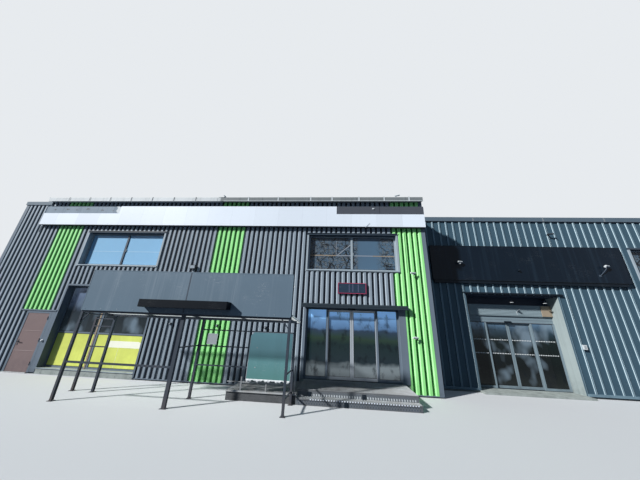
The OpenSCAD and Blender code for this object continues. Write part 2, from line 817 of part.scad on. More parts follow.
// A leaf with two hangers whose rollers stand on the rail
module sliding_leaf(mid, side, y, z, clear_h) {
    x = leaf_span(mid, side);
    leaf_y = [y + leaf_set, y + leaf_set + leaf_t];
    leaf_z = [z + running_gap, z + clear_h - running_gap];
    roller_z = z + clear_h + rail_z + rail_t + roller_r + seat_gap;
    difference() {
        block(x, leaf_y, leaf_z);
        block([x[0] + stile_w, x[1] - stile_w], [leaf_y[0] - 1, leaf_y[1] + 1],
            [leaf_z[0] + bottom_rail_h, leaf_z[1] - stile_w]);
    }
    for (share = [1 - outer_hanger, outer_hanger]) {
        hx = hanger_at(x, share);
        plate_x = [hx - hanger_w / 2, hx + hanger_w / 2];
        plate_y = y + header_d + rail_w + 6;
        block(plate_x, [leaf_y[1] - 5, plate_y + hanger_t], [leaf_z[1] - stile_w, leaf_z[1]]);
        block(plate_x, [plate_y, plate_y + hanger_t], [leaf_z[1] - stile_w, roller_z + 10]);
        translate([hx, plate_y, roller_z]) rotate([90, 0, 0]) cylinder(h = rail_w, r = roller_r, $fn = 24);
    }
}

module leaf_glass(mid, side, y, z, clear_h) {
    x = leaf_span(mid, side);
    block([x[0] + stile_w, x[1] - stile_w],
        [y + leaf_set + (leaf_t - glass_t) / 2, y + leaf_set + (leaf_t + glass_t) / 2],
        [z + running_gap + bottom_rail_h, z + clear_h - running_gap - stile_w]);
}

header_d = 100;
bottom_rail_h = 90;
rail_w = 30;
rail_t = 20;
rail_z = 60;
roller_r = 15;
stop_w = 30;
hanger_w = 80;
hanger_t = 8;
outer_hanger = 0.8;
leaf_set = 70;
leaf_lap = 30;
stile_w = 55;
entrance_set = 105;
jamb_face_y = crest_y - 5;
entrance_y = crest_y + entrance_set;
wing_entrance_y = wing_crest_y + recess_d;
wing_mid = recess_x + recess_w / 2;
wing_half = recess_w / 2 - cheek_t;
wing_clear_h = wing_door_head - wing_floor_h;

module entrance_frame() color("grey") {
    sliding_front(0, entrance_y, floor_h, entrance_half, entrance_h, header_h);
    jamb_y = [jamb_face_y, entrance_y + header_d];
    block([entrance_span[0], -entrance_half], jamb_y, [floor_h, entrance_head]);
    block([entrance_half, entrance_span[1]], jamb_y, [floor_h, entrance_head]);
}

module entrance_leaf_left() color("silver")
    sliding_leaf(0, -1, entrance_y, floor_h, entrance_h);
module entrance_leaf_right() color("silver")
    sliding_leaf(0, 1, entrance_y, floor_h, entrance_h);
module entrance_glass_left() color("lightblue", 0.5)
    leaf_glass(0, -1, entrance_y, floor_h, entrance_h);
module entrance_glass_right() color("lightblue", 0.5)
    leaf_glass(0, 1, entrance_y, floor_h, entrance_h);

// A thin folded hood over the entrance
// How far the hood reaches past the jambs at its left and right ends
hood_lap = [50, 70];
hood_fall = 30;
hood_t = 20;
module entrance_hood() color("darkslategrey") {
    top = entrance_head + hood_t / 2;
    front = crest_y - hood_out;
    along_x([entrance_span[0] - hood_lap[0], entrance_span[1] + hood_lap[1]])
        polygon([[jamb_face_y, top], [front, top - hood_fall], [front, entrance_head - hood_h],
            [front + hood_t, entrance_head - hood_h], [front + hood_t, top - hood_fall - hood_t],
            [jamb_face_y, top - hood_t]]);
}

module display_panel() color("darkred")
    block([-display_x, display_w - display_x], [crest_y - display_out, crest_y],
        [display_z, display_z + display_h]);

// Fixed ground-storey glass

module ground_glass() color("lightblue", 0.5) {
    side_lights(0, entrance_y, floor_h, entrance_half, entrance_h);
    side_lights(wing_mid, wing_entrance_y, wing_floor_h, wing_half, wing_clear_h);
    for (x = shop_bays())
        block(x, [shop_sash_y[0] + glass_set, shop_sash_y[0] + glass_set + glass_t],
            [shop_rail_z + profile_w / 2, shop_head - profile_w]);
}

// Trolley shelter

shelter_y = crest_y - shelter_out;
shelter_end = shelter_x + shelter_l;
panel_board_t = 40;
post_y = shelter_y + panel_board_t;
roof_y = post_y + post_w;
roof_front_z = shelter_z + 20;
roof_sheet_t = 35;
rear_post_y = post_y + rear_post_set;
mid_post_x = shelter_end - mid_post_back;
rear_mid_x = shelter_end - rear_mid_back;
rear_left_x = shelter_x + rear_post_lead;
beam_h = 50;
rail_s = 30;
street_rail_s = 45;
foot_lip = 30;
foot_t = 8;
brace_s = 24;
brace_l = 300;
brace_drop = 260;

// Underside of the sloping roof at a distance from the street
function roof_under(y) = roof_front_z - shelter_fall * (y - roof_y) / (shelter_d - post_w);

// A post of width w and depth post_w on a foot plate
module footed_post(x, y, w, top) {
    block([x, x + w], [y, y + post_w], [0, top]);
    block([x - foot_lip, x + w + foot_lip], [y - foot_lip, y + post_w + foot_lip], [0, foot_t]);
}

// A beam along X whose top follows the slope of the roof
module roof_beam(x, y) {
    low = roof_under(y + post_w) - beam_h;
    along_x(x) polygon([[y, low], [y + post_w, low], [y + post_w, roof_under(y + post_w)],
        [y, roof_under(y)]]);
}

// A short diagonal brace in the plane of the front or rear posts
module brace(x, y, z, lean)
    translate([x, y, z]) rotate([0, lean, 0]) translate([-brace_s / 2, 0, 0])
        cube([brace_s, brace_s, brace_l]);

module shelter_frame() color("dimgrey") {
    panel_top = shelter_z + shelter_panel_h - post_w;
    rear_low = roof_under(rear_post_y + post_w) - beam_h;
    footed_post(shelter_x, post_y, post_w, panel_top);
    footed_post(mid_post_x, post_y, mid_post_w, panel_top);
    footed_post(shelter_end - post_w, post_y, post_w, panel_top);
    for (x = [rear_left_x, rear_mid_x, shelter_end - post_w])
        footed_post(x, rear_post_y, post_w, rear_low);
    roof_beam([shelter_x, shelter_end], rear_post_y);
    block([shelter_x, shelter_end], [post_y, post_y + post_w], [shelter_z - beam_h, shelter_z]);
    for (x = [shelter_x, mid_post_x, shelter_end - post_w])
        block([x, x + post_w], [roof_y, rear_post_y], [rear_low, rear_low + rail_s]);
    for (z = [side_link_low, rear_rail_low])
        block([shelter_end - post_w, shelter_end - post_w + rail_s], [roof_y, rear_post_y], [z, z + rail_s]);
    block([rear_mid_x, rear_mid_x + rail_s], [roof_y, rear_post_y], [rear_rail_mid, rear_rail_mid + rail_s]);
    brace(shelter_x + post_w, post_y + brace_s, shelter_z - brace_drop, 40);
    brace(shelter_end - post_w, post_y + brace_s, shelter_z - brace_drop, -40);
}

// Street rail, rear rails and the ladder-shaped side frame
module shelter_rails() color("darkgrey") {
    block([shelter_x + post_w, mid_post_x], [post_y + 5, post_y + 5 + street_rail_s],
        [street_rail_z, street_rail_z + street_rail_s]);
    for (z = [rear_rail_low, rear_rail_mid, rear_rail_high])
        block([rear_mid_x + post_w, shelter_end - post_w], [rear_post_y, rear_post_y + rail_s],
            [z, z + rail_s]);
    ladder_x = shelter_x - ladder_out;
    footed_post(ladder_x, rear_post_y, post_w, ladder_h);
    for (z = [rear_rail_mid - 165, rear_rail_high - rail_s, ladder_h - 2 * rail_s])
        block([ladder_x + post_w, rear_left_x], [rear_post_y, rear_post_y + rail_s], [z, z + rail_s]);
}

module shelter_roof() color("ghostwhite")
    along_x([shelter_x - 20, shelter_end + 20])
        polygon([[roof_y, roof_under(roof_y)], [post_y + shelter_d, roof_under(post_y + shelter_d)],
            [post_y + shelter_d, roof_under(post_y + shelter_d) + roof_sheet_t],
            [roof_y, roof_under(roof_y) + roof_sheet_t]]);

module shelter_front_panel() color("lightslategrey") {
    seam = mid_post_x + mid_post_w / 2;
    seam_gap = 4;
    panel_z = [shelter_z, shelter_z + shelter_panel_h];
    block([shelter_x, seam - seam_gap / 2], [shelter_y, post_y], panel_z);
    block([seam + seam_gap / 2, shelter_end], [shelter_y, post_y], panel_z);
}

box_x = shelter_x + box_lead;
module shelter_box() color("black")
    block([box_x, box_x + box_l], [shelter_y - box_d, shelter_y],
        [shelter_z + box_lift, shelter_z + box_lift + box_h]);

// A plastic sheet in front of the rear rails, its upper left corner cut off
screen_t = 6;
screen_cut = 110;
module shelter_screen() color("cadetblue", 0.6) {
    right = shelter_end - post_w - running_gap;
    top = screen_z + screen_h;
    translate([0, rear_post_y, 0]) rotate([90, 0, 0]) linear_extrude(screen_t)
        polygon([[right - screen_w, screen_z], [right, screen_z], [right, top],
            [right - screen_w + screen_cut, top], [right - screen_w, top - screen_cut]]);
}

// Entrance landing

landing_y = crest_y - landing_d;
step_y = landing_y - step_d;
landing_end = landing_x + landing_l;
walkway_y = rear_post_y + post_w + seat_gap;
leg_w = 50;
riser_t = 5;
riser_set = 10;
leg_inset = 100;
// The walkway's riser and legs stand clear of the foot plates of the shelter's rear posts
walkway_riser_y = walkway_y + foot_lip + running_gap;
kerb_post_w = 35;
kerb_rail_t = 25;
// Distances from the walkway's left end to the kerb rail's posts, and their height above the rail
kerb_posts = [380, 1090];
kerb_post_rise = 120;
hand_post_set = 40;
hand_post_h = 660;

module landing_grating() color("silver") {
    block([landing_x, landing_end], [landing_y, crest_y], [floor_h - grate_t, floor_h]);
    block([landing_x, landing_end], [step_y, landing_y], [step_h - grate_t, step_h]);
    block([landing_x - walkway_l, landing_x], [walkway_y, crest_y], [walkway_h - grate_t, walkway_h]);
}

module landing_supports() color("darkgrey") {
    riser([landing_x, landing_end], landing_y, [step_h, floor_h - grate_t]);
    riser([landing_x, landing_end], step_y + riser_set, [0, step_h - grate_t]);
    riser([landing_x - walkway_l, landing_x - riser_set], walkway_riser_y, [0, walkway_h - grate_t]);
    for (x = [landing_x + leg_inset, (landing_x + landing_end) / 2, landing_end - leg_inset])
        for (y = [landing_y + leg_inset, crest_y - leg_inset - leg_w])
            leg(x, y, floor_h);
    for (x = [landing_x - walkway_l + leg_inset, landing_x - walkway_l / 2])
        for (y = [walkway_y + leg_inset, crest_y - leg_inset - leg_w])
            leg(x, y, walkway_h);
    kerb_rail();
}

// A low rail on posts along the walkway's street edge, and the post of a hand rail at its end
module kerb_rail() {
    walkway_x = landing_x - walkway_l;
    rail_top = walkway_h + kerb_rail_h + kerb_rail_t;
    post_span = [walkway_y + riser_set, walkway_y + riser_set + kerb_post_w];
    for (x = kerb_posts)
        block([walkway_x + x, walkway_x + x + kerb_post_w], post_span, [walkway_h, rail_top + kerb_post_rise]);
    block([walkway_x, landing_x - hand_post_set], post_span, [walkway_h + kerb_rail_h, rail_top]);
    block([landing_x - hand_post_set - kerb_post_w, landing_x - hand_post_set], post_span,
        [walkway_h, walkway_h + hand_post_h]);
}

module riser(x, y, z) block(x, [y, y + riser_t], z);

module leg(x, y, top) block([x - leg_w / 2, x + leg_w / 2], [y, y + leg_w], [0, top - grate_t]);

// Wing entrance recess

module wing_recess_cheeks() color("slategrey")
    for (x = [recess_span[0], recess_span[1] - cheek_t])
        block([x, x + cheek_t], [wing_crest_y, wing_entrance_y + header_d], [wing_floor_h, recess_head]);

shutter_out = 60;

// Ceiling board, back board and roller shutter box in one folded lining
module wing_recess_head() color("grey") {
    head_low = wing_door_head + wing_header_h;
    box_top = head_low + shutter_h;
    back_y = wing_entrance_y + header_d;
    box_y = wing_entrance_y - shutter_out;
    along_x([recess_span[0] + cheek_t, recess_span[1] - cheek_t])
        polygon([[wing_face_y, recess_head], [back_y, recess_head], [back_y, head_low],
            [box_y, head_low], [box_y, box_top], [back_y - cheek_t, box_top],
            [back_y - cheek_t, recess_head - cheek_t], [wing_face_y, recess_head - cheek_t]]);
}

module wing_entrance_frame() color("grey")
    sliding_front(wing_mid, wing_entrance_y, wing_floor_h, wing_half, wing_clear_h, wing_header_h);

module wing_leaf_left() color("silver")
    sliding_leaf(wing_mid, -1, wing_entrance_y, wing_floor_h, wing_clear_h);
module wing_leaf_right() color("silver")
    sliding_leaf(wing_mid, 1, wing_entrance_y, wing_floor_h, wing_clear_h);
module wing_glass_left() color("lightblue", 0.5)
    leaf_glass(wing_mid, -1, wing_entrance_y, wing_floor_h, wing_clear_h);
module wing_glass_right() color("lightblue", 0.5)
    leaf_glass(wing_mid, 1, wing_entrance_y, wing_floor_h, wing_clear_h);

module black_panel() color("black")
    block([panel_x, panel_x + panel_l], [wing_crest_y - panel_t, wing_crest_y],
        [panel_z, panel_z + panel_h]);

// Cameras, floodlight, notice plate and alarm box

camera_arm = 110;
camera_r = 32;
camera_l = 200;
arm_r = 14;
flange_r = 45;
flange_t = 20;
alarm_size = [120, 60, 160];
flood_size = [220, 120, 150];
notice_t = 8;
wall_lamp_size = [80, 70, 70];
wall_lamps = 3;

// A camera on a short arm; y is the surface that carries it and lean turns its body to a side
module wall_camera(x, y, z, lean = -70) translate([x, y, z]) rotate([90, 0, 0]) {
    cylinder(h = flange_t, r = flange_r, $fn = 16);
    cylinder(h = camera_arm, r = arm_r, $fn = 12);
    translate([0, 0, camera_arm]) rotate([0, lean, 0]) translate([0, 0, -camera_l / 3])
        cylinder(h = camera_l, r = camera_r, $fn = 20);
}

// A camera that stands on the coping and looks along the front
module coping_camera() translate([main_right - coping_camera_inset, crest_y - coping_out / 2, coping_top]) {
    cylinder(h = flange_t, r = flange_r, $fn = 16);
    cylinder(h = camera_arm, r = arm_r, $fn = 12);
    translate([0, 0, camera_arm]) rotate([0, 75, 0]) translate([0, 0, -camera_l / 3])
        cylinder(h = camera_l, r = camera_r, $fn = 20);
}

// A box on the wall; x is its left edge, y the surface that carries it and z its underside
module wall_box(x, y, z, size) translate([x, y - size[1], z]) cube(size);

module wall_fixtures() color("whitesmoke") {
    wall_camera(main_right - camera_inset, crest_y, camera_z);
    wall_camera(main_right - low_camera_inset, crest_y, low_camera_z);
    coping_camera();
    wall_camera(recess_span[1] + wing_camera_lead, wing_crest_y, wing_camera_z, 70);
    wall_camera(panel_x + panel_l - panel_camera_inset, wing_crest_y - panel_t,
        panel_z + panel_camera_rise);
    wall_camera(panel_x + panel_camera_lead, wing_crest_y - panel_t, panel_z + panel_h / 2);
    wall_box(recess_span[1] + alarm_lead, wing_crest_y, alarm_z, alarm_size);
    wall_box(shelter_x + flood_lead, crest_y, flood_z, flood_size);
    wall_box(stripe_mid_x + (stripe_w - notice_w) / 2, crest_y, notice_z, [notice_w, notice_t, notice_h]);
    for (k = [0 : wall_lamps - 1])
        wall_box(shelter_x + wall_lamp_lead + k * wall_lamp_pitch, crest_y, wall_lamp_z, wall_lamp_size);
}

main_floor();
wing_floor();
upper_floor();
front_wall_piers();
front_wall_beams();
door_lintels();
cross_walls();
rear_wall();
wing_wall_piers();
wing_wall_beams();
roof_decks();
grey_sheets();
green_sheets();
wing_sheets();
side_rear_sheets();
corner_trims();
front_coping();
low_copings();
white_band();
bare_strip();
dark_strip();
upper_window_frames();
upper_glass();
shop_window_frame();
shop_lower_panels();
ground_glass();
shop_plinth();
service_door_frame();
service_door();
service_door_handle();
entrance_frame();
entrance_leaf_left();
entrance_glass_left();
entrance_leaf_right();
entrance_glass_right();
entrance_hood();
display_panel();
landing_grating();
landing_supports();
shelter_frame();
shelter_rails();
shelter_roof();
shelter_front_panel();
shelter_box();
shelter_screen();
wing_recess_cheeks();
wing_recess_head();
wing_entrance_frame();
wing_leaf_left();
wing_glass_left();
wing_leaf_right();
wing_glass_right();
black_panel();
wall_fixtures();
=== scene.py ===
"""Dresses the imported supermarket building: finishes for every CAD piece, its fine trim, and a studio."""

from __future__ import annotations

import json
import logging
from collections.abc import Callable, Iterable, Sequence
from dataclasses import dataclass, field
from enum import Enum

import bpy
import numpy as np
from mathutils import Matrix, Vector

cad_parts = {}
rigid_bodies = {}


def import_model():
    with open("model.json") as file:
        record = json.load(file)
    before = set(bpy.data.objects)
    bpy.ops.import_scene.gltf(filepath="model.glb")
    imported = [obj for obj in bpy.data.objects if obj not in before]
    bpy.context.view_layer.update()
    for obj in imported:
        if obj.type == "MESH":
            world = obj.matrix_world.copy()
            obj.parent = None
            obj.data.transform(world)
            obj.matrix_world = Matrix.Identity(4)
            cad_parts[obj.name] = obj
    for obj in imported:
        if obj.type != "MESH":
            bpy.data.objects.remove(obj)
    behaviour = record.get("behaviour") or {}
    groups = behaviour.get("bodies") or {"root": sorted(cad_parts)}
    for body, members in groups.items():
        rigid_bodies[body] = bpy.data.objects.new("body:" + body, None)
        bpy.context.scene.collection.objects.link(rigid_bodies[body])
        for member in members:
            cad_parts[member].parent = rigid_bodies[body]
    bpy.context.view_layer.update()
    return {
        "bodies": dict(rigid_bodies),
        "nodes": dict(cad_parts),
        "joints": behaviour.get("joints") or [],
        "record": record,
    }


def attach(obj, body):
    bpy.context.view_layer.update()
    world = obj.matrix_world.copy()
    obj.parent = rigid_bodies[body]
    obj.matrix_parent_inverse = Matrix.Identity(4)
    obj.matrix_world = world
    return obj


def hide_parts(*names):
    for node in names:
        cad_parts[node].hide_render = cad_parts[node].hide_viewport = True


LOG = logging.getLogger("supermarket")

Pair = tuple[float, float]
Triple = tuple[float, float, float]
Rgba = tuple[float, float, float, float]
Hole = tuple[Pair, Pair]
Socket = bpy.types.NodeSocket

# Planes of the ribbed front sheets along Y: crests and valleys of the tall front and of the wing
CREST, VALLEY = -0.145, -0.105
WING_CREST, WING_VALLEY = 1.16, 1.195


class Body(str, Enum):
    """The CAD bodies that a piece may ride on."""

    BUILDING = "building"
    SERVICE_DOOR = "service_door_leaf"
    ENTRANCE_LEFT = "entrance_left"
    ENTRANCE_RIGHT = "entrance_right"
    WING_LEFT = "wing_left"
    WING_RIGHT = "wing_right"


class Axis(Enum):
    """The three axes of the row frame, as column numbers."""

    X = 0
    Y = 1
    Z = 2


# Shapes as arrays


@dataclass
class Shape:
    """Points of a surface and its faces, in blocks of faces that have as many corners."""

    points: np.ndarray
    blocks: list[np.ndarray] = field(default_factory=list)

    def moved(self, offset: Sequence[float]) -> Shape:
        """Returns the shape shifted by one offset."""
        return Shape(self.points + np.asarray(offset, float), self.blocks)

    def turned(self, matrix: np.ndarray) -> Shape:
        """Returns the shape with each point multiplied by a 3 by 3 rotation."""
        return Shape(self.points @ np.asarray(matrix, float).T, self.blocks)

    def repeated(self, offsets: np.ndarray) -> Shape:
        """Copies the shape to many places.

        Every copy is the shape's points plus one offset, and its faces count on from the copy before.

        Args:
            offsets: One row of X, Y and Z for each copy.

        Returns:
            All copies as one shape.
        """
        offsets = np.asarray(offsets, float).reshape(-1, 3)
        points = (self.points[None] + offsets[:, None]).reshape(-1, 3)
        shift = (np.arange(len(offsets)) * len(self.points))[:, None, None]
        blocks = [(block[None] + shift).reshape(-1, block.shape[1]) for block in self.blocks]
        return Shape(points, blocks)

    def outward(self) -> Shape:
        """Turns all faces of the closed shape outwards.

        The volume is the sum of the tetrahedra from the origin to each face; under 0, all faces turn.

        Returns:
            The shape itself, or one with its faces turned.
        """
        volume = 0.0
        for block in self.blocks:
            corners = self.points[block]
            first, rest = corners[:, :1], corners[:, 1:]
            fans = np.cross(rest[:, :-1], rest[:, 1:])
            volume += float((first * fans).sum())
        return self if volume >= 0 else Shape(self.points, [block[:, ::-1] for block in self.blocks])


def joined(shapes: Iterable[Shape]) -> Shape:
    """Joins shapes into one; each shape's faces count on from the points before it.

    Args:
        shapes: The shapes, in their order.

    Returns:
        One shape with all points and faces.
    """
    shapes = list(shapes)
    starts = np.cumsum([0] + [len(shape.points) for shape in shapes[:-1]])
    blocks = [block + start for shape, start in zip(shapes, starts) for block in shape.blocks]
    return Shape(np.concatenate([shape.points for shape in shapes]), blocks)


def grid_faces(rows: int, columns: int, wrapped: bool) -> np.ndarray:
    """Quads between neighbouring points of a grid.

    The point in row i and column j has the number i times the columns plus j.

    Args:
        rows: How many rows of points the grid has.
        columns: How many points a row has.
        wrapped: Whether the last column joins the first.

    Returns:
        One row of four point numbers for each face.
    """
    i = np.arange(rows - 1)[:, None] * columns
    j = np.arange(columns if wrapped else columns - 1)[None, :]
    k = (j + 1) % columns
    return np.stack([i + j, i + k, i + columns + k, i + columns + j], -1).reshape(-1, 4)


def unit_box() -> tuple[np.ndarray, list[np.ndarray], np.ndarray]:
    """Works out the pattern of a chamfered box.

    Each of the 8 corners gives 3 points, one for each face that meets there: the point keeps the
    corner's full place along that face's axis and steps back by the chamfer along the other two.

    Returns:
        The corner signs of the 24 points, the blocks of faces, and which axis each point keeps.
    """
    signs = np.array([[x, y, z] for x in (-1, 1) for y in (-1, 1) for z in (-1, 1)], float)
    corner = np.repeat(np.arange(8), 3)
    keeps = np.tile(np.arange(3), 8)
    sample = signs[corner] * np.where(np.arange(3)[None] == keeps[:, None], 1.0, 0.8)
    quads, triangles = [], [[3 * c, 3 * c + 1, 3 * c + 2] for c in range(8)]
    for a in range(3):
        b, c = (a + 1) % 3, (a + 2) % 3
        for side in (-1, 1):
            turns = [(side, sb, sc) for sb, sc in ((-1, -1), (1, -1), (1, 1), (-1, 1))]
            ring = [int(np.flatnonzero((signs[:, (a, b, c)] == turn).all(1))[0]) for turn in turns]
            quads.append([3 * s + a for s in ring])
        for sb in (-1, 1):
            for sc in (-1, 1):
                low, high = [s for s in range(8) if signs[s, b] == sb and signs[s, c] == sc]
                quads.append([3 * low + b, 3 * high + b, 3 * high + c, 3 * low + c])
    blocks = []
    for faces in (np.array(quads), np.array(triangles)):
        corners = sample[faces]
        normal = np.cross(corners[:, 1] - corners[:, 0], corners[:, 2] - corners[:, 0])
        inward = (normal * corners.mean(1)).sum(1) < 0
        blocks.append(np.where(inward[:, None], faces[:, ::-1], faces))
    return signs[corner], blocks, keeps


BOX_SIGNS, BOX_BLOCKS, BOX_KEEPS = unit_box()


def boxes(low: np.ndarray, high: np.ndarray, chamfer: float = 0.002) -> Shape:
    """Chamfered boxes between pairs of corners.

    Half of the size along each axis, less the chamfer on the two axes that a point doesn't keep,
    times the corner's sign, is added to the middle of each box.

    Args:
        low: Lowest corner of each box, one row each, or one corner.
        high: Highest corner of each box.
        chamfer: Width cut off each edge, in metres.

    Returns:
        All boxes as one shape.
    """
    low, high = np.atleast_2d(np.asarray(low, float)), np.atleast_2d(np.asarray(high, float))
    low, high = np.broadcast_arrays(low, high)
    middle, half = (low + high) / 2, (high - low) / 2
    cut = np.minimum(chamfer, half.min(1) * 0.45)[:, None, None]
    keeps = (np.arange(3)[None] == BOX_KEEPS[:, None])[None]
    reach = half[:, None] - np.where(keeps, 0.0, cut)
    points = (middle[:, None] + BOX_SIGNS[None] * reach).reshape(-1, 3)
    shift = (np.arange(len(low)) * 24)[:, None, None]
    return Shape(points, [(block[None] + shift).reshape(-1, block.shape[1]) for block in BOX_BLOCKS])


def xyz(x: object, y: object, z: object) -> np.ndarray:
    """One row of X, Y and Z for each value of the longest of the three."""
    return np.stack(np.broadcast_arrays(x, y, z), -1)


def level_bars(runs: Sequence[Pair], depth: Pair, z: Pair, chamfer: float = 0.001) -> Shape:
    """Bars that share their depth and height, one for each extent along X.

    Args:
        runs: Left and right end of each bar.
        depth: Front and back of the bars along Y.
        z: Foot and top of the bars.
        chamfer: Width cut off their edges.

    Returns:
        All bars as one shape.
    """
    left, right = np.array(runs, float).T
    return boxes(xyz(left, depth[0], z[0]), xyz(right, depth[1], z[1]), chamfer)


def rim(x: Pair, z: Pair, depth: Pair, width: float, chamfer: float) -> Shape:
    """Four slim bars round a rectangle on a front, the uprights between the other two.

    Args:
        x: Extent of the rectangle along X.
        z: Its upright extent.
        depth: Front and back of the bars along Y.
        width: Width of the bars.
        chamfer: Width cut off their edges.

    Returns:
        The four bars as one shape.
    """
    sides = level_bars([(x[0], x[0] + width), (x[1] - width, x[1])], depth, (z[0] + width, z[1] - width),
                       chamfer)
    return joined([level_bars([x], depth, (z[0], z[0] + width), chamfer),
                   level_bars([x], depth, (z[1] - width, z[1]), chamfer), sides])


def prism(outline: Sequence[Pair], span: Pair, axis: Axis) -> Shape:
    """A closed outline carried straight along one axis.

    The two coordinates of the outline are the other two axes in the order X, Y, Z; the near and the
    far copy of the outline are joined by quads and closed by one face each.

    Args:
        outline: Corners of the outline.
        span: Where it starts and ends along the axis.
        axis: The axis it is carried along.

    Returns:
        The closed prism.
    """
    flat = np.asarray(outline, float)
    count = len(flat)
    points = np.empty((2, count, 3))
    others = [a for a in range(3) if a != axis.value]
    points[..., others] = flat[None]
    points[..., axis.value] = np.asarray(span, float)[:, None]
    caps = np.stack([np.arange(count)[::-1], np.arange(count) + count])
    return Shape(points.reshape(-1, 3), [grid_faces(2, count, True), caps]).outward()


def sweep(path: Sequence[Triple], section: np.ndarray, up: Triple = (0.0, 0.0, 1.0)) -> Shape:
    """A closed section carried along a path.

    At each point of the path the section's first coordinate runs square to the path and to `up`,
    and its second runs square to the path and to the first.

    Args:
        path: Points of the path, one row each.
        section: Corners of the section, across and up.
        up: A direction that the path never runs along.

    Returns:
        The swept shape, closed at both ends.
    """
    path, section = np.asarray(path, float), np.asarray(section, float)
    along = np.gradient(path, axis=0)
    along /= np.linalg.norm(along, axis=1, keepdims=True)
    across = np.cross(along, np.asarray(up, float))
    across /= np.linalg.norm(across, axis=1, keepdims=True)
    over = np.cross(across, along)
    points = path[:, None] + section[None, :, :1] * across[:, None] + section[None, :, 1:] * over[:, None]
    rows, count = len(path), len(section)
    caps = np.stack([np.arange(count)[::-1], np.arange(count) + (rows - 1) * count])
    return Shape(points.reshape(-1, 3), [grid_faces(rows, count, True), caps]).outward()


def round_section(radius: float, sides: int = 12) -> np.ndarray:
    """Corners of a circle: the radius times the cosine and the sine of even turns."""
    turn = np.linspace(0, 2 * np.pi, sides, endpoint=False)
    return radius * np.stack([np.cos(turn), np.sin(turn)], -1)


def turned_part(profile: Sequence[Pair], sides: int = 12) -> Shape:
    """A part turned on the Z axis.

    Each profile point is a radius and a height; the point at turn t is the radius times the cosine
    and sine of t, at that height. The first and last ring are closed by one face each.

    Args:
        profile: Radius and height of each ring, from the bottom up.
        sides: How many points a ring has.

    Returns:
        The closed part.
    """
    rings = np.asarray(profile, float)
    turn = np.linspace(0, 2 * np.pi, sides, endpoint=False)
    x = rings[:, :1] * np.cos(turn)[None]
    y = rings[:, :1] * np.sin(turn)[None]
    z = np.broadcast_to(rings[:, 1:], x.shape)
    count = len(rings)
    caps = np.stack([np.arange(sides)[::-1], np.arange(sides) + (count - 1) * sides])
    return Shape(np.stack([x, y, z], -1).reshape(-1, 3), [grid_faces(count, sides, True), caps]).outward()


def facing(direction: Triple) -> np.ndarray:
    """The rotation that turns +Z to a direction, as a 3 by 3 array."""
    return np.array(Vector((0, 0, 1)).rotation_difference(Vector(direction)).to_matrix())


def to_front(shape: Shape) -> Shape:
    """Turns a part that stands on the XY plane so that it stands out of a front wall."""
    return shape.turned(facing((0, -1, 0)))


def clear_runs(place: float, span: Pair, holes: Iterable[Hole]) -> list[Pair]:
    """Cuts the holes that a place falls in out of an upright run.

    Args:
        place: Where the run stands along the wall.
        span: Foot and top of the run.
        holes: Extent along the wall and upright extent of each hole.

    Returns:
        Foot and top of each stretch that is left.
    """
    runs = [span]
    for along, upright in holes:
        if along[0] <= place <= along[1]:
            cut = [(low, min(high, upright[0])) for low, high in runs]
            cut += [(max(low, upright[1]), high) for low, high in runs]
            runs = [(low, high) for low, high in cut if high - low > 0.02]
    return runs


# Shader tools


def tone(red: int, green: int, blue: int) -> Rgba:
    """Turns a display colour into linear values, by the sRGB curve.

    Args:
        red: Red, from 0 to 255.
        green: Green.
        blue: Blue.

    Returns:
        The colour as Blender takes it, with full opacity.
    """
    share = np.array([red, green, blue]) / 255.0
    linear = np.where(share <= 0.04045, share / 12.92, ((share + 0.055) / 1.055) ** 2.4)
    return (*linear.tolist(), 1.0)


